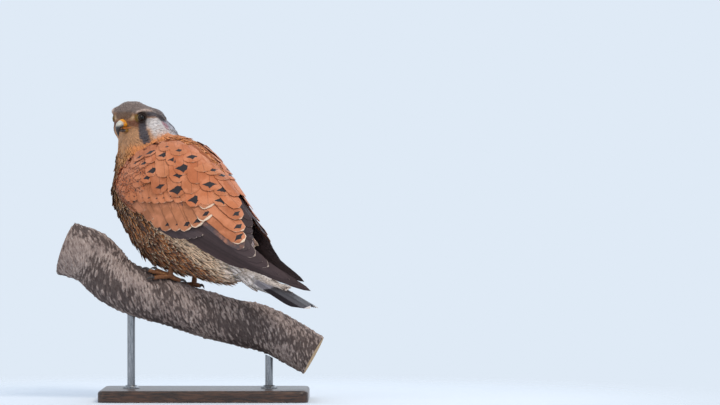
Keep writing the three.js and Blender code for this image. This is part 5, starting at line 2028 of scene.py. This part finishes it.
UP = [(0, 0, 1)] * 3
BILL_UPS = [(0, 0, 1), (0, 0, 1), (0.5, 0, 0.86), (0.95, 0, 0.3), (1, 0, 0), (1, 0, 0.1)]


def make_bill():
    horn = coloured_finish("bill_horn", 0.3, 0.5, 1.6, 0.35)
    waxy = coloured_finish("waxy_cere", 0.42, 0.4, 1.1, 0.15)
    rings = tube_rings(BILL_LINE, BILL_UPS, BILL_WIDE, BILL_DEEP, BILL_RINGS, BILL_SIDES, bill_shape)
    foremost = rings[:, :, 0].max(axis=1)
    upper = rings[int(np.argmax(foremost > CERE_ENDS - HORN_UNDER)) :]
    hook = ringed_piece("bill_horn_upper", upper, horn, head_to_world)
    turns = np.linspace(0, 2 * math.pi, BILL_SIDES, endpoint=False)
    # The horn is painted pale along its ridge as a painted highlight, paler near the cere, and black to the
    # tip.
    ridge = np.tile(np.clip(np.sin(turns), 0, 1), len(upper))
    down = smooth(-2.6, -6.2, upper[..., 2].reshape(-1))
    colours = share_of(HORN_BLUE, HORN_PALE_AND_HIGHLIGHT, ridge**0.7 * (1 - 0.6 * down) + 0.25 * (1 - down) * (1 - ridge))
    tint(hook, layer(colours, HORN_TIP, down * 1.1))
    ends = int(np.argmax(foremost > CERE_ENDS + CERE_LAPS))
    middle = even_line(BILL_LINE, BILL_RINGS + 1)[0][: ends + 1, None]
    cere = rings[: ends + 1]
    out = cere - middle
    reach = np.linalg.norm(out, axis=2, keepdims=True)
    rim = smooth(0, 1.1, CERE_ENDS + CERE_LAPS - cere[..., 0:1].max(axis=1, keepdims=True))
    mirrored = np.stack([cere[..., 0], np.abs(cere[..., 1]), cere[..., 2]], axis=2)
    away = np.linalg.norm(mirrored - NOSTRIL_AT, axis=2, keepdims=True)
    proud = CERE_PROUD * np.sqrt(rim) - 0.12 * (1 - rim) + nostril(away)
    cere = middle + out * (1 + proud / np.maximum(reach, 1e-6))
    wax = ringed_piece("cere_wax", cere, waxy, head_to_world)
    # The cere is painted darker round each nostril and along its underside: painted shade.
    shaded_hollow = mound(away, 1).reshape(-1)
    below = smooth(-2.5, -6.5, cere[..., 2].reshape(-1))
    tint(wax, share_of(CERE_YELLOW, CERE_SHADE, np.maximum(shaded_hollow, 0.7 * below)))
    jaw = tube_rings(JAW_LINE, UP, JAW_WIDE, JAW_DEEP, 40, 36, rounded=1.2)
    lower = ringed_piece("bill_horn_lower", jaw, horn, head_to_world)
    to_tip = smooth(21, 24.5, jaw[..., 0].reshape(-1))
    tint(lower, share_of(JAW_YELLOW, HORN_DARK, to_tip))
    pieces = [(hook, "bill_upper", "bill_horn"), (wax, "cere", "bare_skin")]
    pieces.append((lower, "bill_lower", "bill_horn"))
    for side in (1, -1):
        line = [(x, side * y, z) for x, y, z in GAPE_LINE]
        gape = tube_rings(line, UP, GAPE_THICK, GAPE_THICK, 28, 16, rounded=0.5)
        piece = ringed_piece("gape_left" if side > 0 else "gape_right", gape, waxy, head_to_world)
        count = gape.shape[0] * gape.shape[1]
        tint(piece, np.tile(np.array(CERE_SHADE[:3]), (count, 1)))
        pieces.append((piece, "cere", "bare_skin"))
    for piece, node, slot in pieces:
        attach(piece, "root")
        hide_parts(node)
    return waxy


waxy_skin = make_bill()

# The eyes
# Large, round and almost black, of blown glass in such a model, in a raised ring of bare olive-yellow lid.
EYE_RADIUS = 4.9
PUPIL_DEGREES = 27
IRIS_DEGREES = 46
CORNEA_PROUD = 0.4
# The lid's section: how far from the eye's axis, and how far out along it
LID_SECTION = np.array([
    (3.8, 2.5),
    (3.86, 3.4),
    (4.15, 3.75),
    (4.55, 3.6),
    (5.0, 2.9),
    (5.3, 1.9),
    (4.8, 0.8),
    (4.2, 1.4),
])
LID_STEPS = 56
LID_LIP = 4.9  # what lies further out than this is drawn out in front
BALL_RINGS = 40
BALL_SIDES = 48
BALL_DEGREES = 150
LID_YELLOW = paint(116, 88, 28)
LID_DARK = paint(34, 27, 25)
PUPIL_BLACK = paint(5, 5, 6)
IRIS_BROWN = paint(44, 26, 16)
IRIS_DARK = paint(24, 14, 10)
RIM_BLACK = paint(10, 8, 8)
EYE_UP = np.array([0, 0, 1]) - EYE_LOOKS * EYE_LOOKS[2]
EYE_UP = EYE_UP / np.linalg.norm(EYE_UP)
EYE_FORE = np.cross(EYE_LOOKS, EYE_UP)
EYE_FORE = EYE_FORE * np.sign(EYE_FORE[0])


def eye_finish():
    material, tree, shader = material_named("glass_eye", 0.12, 0.15)
    shader.inputs["Coat Weight"].default_value = 0.35
    shader.inputs["Coat Roughness"].default_value = 0.04
    degrees = kept(tree, "look")
    iris = blend(tree, cloudy(tree, object_place(tree), 1.4, 3), IRIS_BROWN, IRIS_DARK)
    colour = blend(tree, step(tree, degrees, PUPIL_DEGREES - 2, PUPIL_DEGREES + 1), PUPIL_BLACK, iris)
    colour = blend(tree, step(tree, degrees, IRIS_DEGREES - 3, IRIS_DEGREES), colour, RIM_BLACK)
    tree.links.new(colour, shader.inputs["Base Color"])
    return material


def ball_rings(polar):
    """Rings of the left eye from its pupil to its back, with the cornea a little proud."""
    turn = np.linspace(0, 2 * math.pi, BALL_SIDES, endpoint=False)
    radius = EYE_RADIUS + CORNEA_PROUD * smooth(42, 16, np.degrees(polar))
    flat = np.cos(turn)[:, None] * EYE_FORE + np.sin(turn)[:, None] * EYE_UP
    out = np.cos(polar)[:, None, None] * EYE_LOOKS + np.sin(polar)[:, None, None] * flat
    return EYE_AT + radius[:, None, None] * out


def lid_rings():
    """Sections of the left eye's lid, all the way round it."""
    rings = []
    for i in range(LID_STEPS):
        turn = 2 * math.pi * i / LID_STEPS
        away = LID_SECTION[:, 0:1] * (1 - 0.08 * abs(math.sin(turn)))
        away = away + (LID_SECTION[:, 0:1] > LID_LIP) * 0.5 * max(0, math.cos(turn)) ** 3
        direction = math.cos(turn) * EYE_FORE + math.sin(turn) * EYE_UP
        rings.append(EYE_AT + away * direction + LID_SECTION[:, 1:2] * EYE_LOOKS)
    return np.concatenate(rings)


def make_eyes():
    glass = eye_finish()
    polar = np.linspace(0.03, math.radians(BALL_DEGREES), BALL_RINGS)
    ball, lid_points = ball_rings(polar), lid_rings()
    lid_faces = ring_faces(LID_STEPS, len(LID_SECTION), round_again=True)
    for side in (1, -1):
        mirror = np.array([1, side, 1])
        name = "left" if side > 0 else "right"
        eye = ringed_piece("glass_eye_" + name, ball * mirror, glass, head_to_world)
        keep(eye, "look", "FLOAT", np.repeat(np.degrees(polar), BALL_SIDES))
        lid = new_piece("eyelid_" + name, head_to_world(lid_points * mirror), lid_faces, waxy_skin)
        finer = lid.modifiers.new("rounded", "SUBSURF")
        finer.levels = finer.render_levels = 2
        forward = (lid_points - EYE_AT) @ EYE_FORE
        fore = smooth(2.8, 4.8, forward) * smooth(4.1, 4.7, np.tile(LID_SECTION[:, 0], LID_STEPS))
        tint(lid, share_of(LID_DARK, LID_YELLOW, np.clip(fore, 0, 1)))
        applied(lid)
        for piece, slot in ((eye, "eye"), (lid, "bare_skin")):
            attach(piece, "root")
        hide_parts("eye_" + name)


make_eyes()

# The feet
# Scaly skin over bone: short shanks, three toes forward and one back, their yellow painted brown as painted
# shade, and black hooked claws.
# The feet are cast, and pinned through the branch. Scutes lap over the front of each toe, with pads beneath.
FEET = [
    {"side": "left", "x": -44, "round": 0.36, "toes": [-24, 6, 34], "hind": 188},
    {"side": "right", "x": -19, "round": -0.42, "toes": [-20, -50, -80], "hind": 128},
]
BALL_RADIUS = 3.4
SHANK_LINE = np.array([(0, 0, -1.5), (0.2, 0, 4), (0.4, 0, 9), (1.5, 0, 22)])
SHANK_THICK = [2.9, 2.35, 2.35, 3.0]
SHANK_LONG = 23
SHANK_UPS = [(-1, 0, 0.1)] * 2
TOE_LENGTHS = [18, 25, 20]
HIND_LENGTH = 12
TOE_THICK = [2.7, 2.3, 2.1, 1.9]
TOE_HEIGHTS = [3.6, 2.4, 2, 1.7]
SCUTE_LONG = 1.7
CLAW_REACH = 9.3
CLAW_SUNK = 1.6
CLAW_DEEPER = 1.15
CLAW_THICK = [1.5, 1.25, 0.85, 0.2]
CLAW_HEIGHTS = [1.85, 3.0, 2.5, 0.4]
TOE_NAMES = ["inner", "middle", "outer"]
BRANCH_AT_TOES = 26  # the branch's radius that the toes bend round
TOES_SHORTER = 0.93  # along the branch, as its bark rises and falls
# The skin's yellow is painted down to a brown, as painted shade; its scute seams are darker still.
SHADED_SKIN_YELLOW = paint(142, 90, 52)
SKIN_BROWN = paint(66, 42, 34)
CLAW_BLACK = paint(34, 31, 33)
CLAW_GREY = paint(88, 84, 86)
SEAM_BROWN = paint(86, 52, 34)
WORN_YELLOW = paint(206, 150, 84)


def by_branch(x, turned, height):
    """A point by the branch: its X, the turn from the top to the near side, the height over the bark."""
    at = np.array([np.interp(x, branch_places[:, 0], branch_places[:, k]) for k in range(3)])
    along = np.array([np.interp(x, branch_places[:, 0], branch_along[:, k]) for k in range(3)])
    t = np.interp(x, branch_places[:, 0], np.linspace(0, 1, len(branch_places)))
    near, up = across_branch(along)
    out = up * math.cos(turned) + near * math.sin(turned)
    return at + out * (float(value_between(BRANCH_RADII, t)) + height), out


def step_on_branch(foot, degrees, distance, height):
    """A point so far from the foot, in a direction that is turned from the branch's line, and its way up."""
    turn = math.radians(degrees)
    x = foot["x"] - math.cos(turn) * distance * TOES_SHORTER
    return by_branch(x, foot["round"] + math.sin(turn) * distance / BRANCH_AT_TOES, height)


def scaly_finish():
    material, tree, shader = material_named("scaly_skin", 0.5, 0.4)
    spread = {"Vector": object_place(tree), "Scale": 1.3}
    pebbles = add(tree, "ShaderNodeTexVoronoi", spread, feature="DISTANCE_TO_EDGE")
    seams = step(tree, pebbles.outputs["Distance"], 0.02, 0.14)
    colour = blend(tree, seams, SEAM_BROWN, kept(tree, "tint", "Color"))
    wear = cloudy(tree, object_place(tree), 0.5, 3)
    colour = blend(tree, step(tree, wear, 0.55, 0.75, 0, 0.5), colour, WORN_YELLOW)
    tree.links.new(colour, shader.inputs["Base Color"])
    roughen(tree, shader, seams, 0.14, 0.7)
    return material


def scutes(lengths):
    """A shape that laps plates over the top of a limb, with shallow pads beneath."""

    def shaped(t, turn, x, y):
        run = t * lengths / SCUTE_LONG
        lap = (1 - run % 1) ** 1.5
        top = np.clip(np.sin(turn), 0, 1) ** 0.5
        pads = np.clip(-np.sin(turn), 0, 1) * (0.5 + 0.5 * np.cos(t * lengths * 2 * math.pi / 6.2))
        grow = 1 + 0.12 * lap * top + 0.16 * pads
        return x * grow, y * grow

    return shaped


def limb_tints(rings, lengths, dark):
    count, sides = rings.shape[:2]
    run = np.linspace(0, 1, count)[:, None] * lengths / SCUTE_LONG
    seam = smooth(0.2, 0.02, run % 1) * np.ones((1, sides))
    share = np.clip(0.75 * seam + dark, 0, 1)
    return share_of(SHADED_SKIN_YELLOW, SKIN_BROWN, share.reshape(-1))


def toe_rings(foot, degrees, length):
    line, ups = zip(*(step_on_branch(foot, degrees, length * i / 3, h) for i, h in enumerate(TOE_HEIGHTS)))
    return tube_rings(line, ups, TOE_THICK, TOE_THICK, 110, 28, scutes(length), rounded=1.6)


def claw_rings(foot, degrees, length):
    """Rings of a claw, whose root is sunk in the end of its toe."""
    distances = [length - CLAW_SUNK + CLAW_REACH * i / 3 for i in range(4)]
    line, ups = zip(*(step_on_branch(foot, degrees, *place) for place in zip(distances, CLAW_HEIGHTS)))
    deep = [CLAW_DEEPER * thick for thick in CLAW_THICK]
    return tube_rings(line, ups, CLAW_THICK, deep, 40, 20)


def make_feet():
    scaly = scaly_finish()
    horny = coloured_finish("claw_horn", 0.28, 0.5, 1.6, 0.4)
    for foot in FEET:
        ball, _ = by_branch(foot["x"], foot["round"], BALL_RADIUS)
        line, plates = SHANK_LINE + ball, scutes(SHANK_LONG)
        shank = tube_rings(line, SHANK_UPS, SHANK_THICK, SHANK_THICK, 120, 32, plates, rounded=1.5)
        limbs = [("shank_" + foot["side"], shank, limb_tints(shank, SHANK_LONG, 0.12))]
        toes = list(zip(TOE_NAMES, foot["toes"], TOE_LENGTHS)) + [("hind", foot["hind"], HIND_LENGTH)]
        for name, degrees, length in toes:
            rings = toe_rings(foot, degrees, length)
            limbs.append((f"toe_{foot['side']}_{name}", rings, limb_tints(rings, length, 0.0)))
        for name, rings, tints in limbs:
            piece = ringed_piece(name, rings, scaly)
            tint(piece, tints)
            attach(piece, "root")
            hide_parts("leg_" + foot["side"])
        for name, degrees, length in toes:
            rings = claw_rings(foot, degrees, length)
            claw = ringed_piece(f"claw_horn_{foot['side']}_{name}", rings, horny)
            to_tip = np.repeat(np.linspace(0, 1, rings.shape[0]), rings.shape[1])
            tint(claw, share_of(CLAW_GREY, CLAW_BLACK, smooth(0, 0.35, to_tip)))
            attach(claw, "root")
            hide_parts(f"claw_{foot['side']}_{name}")


make_feet()
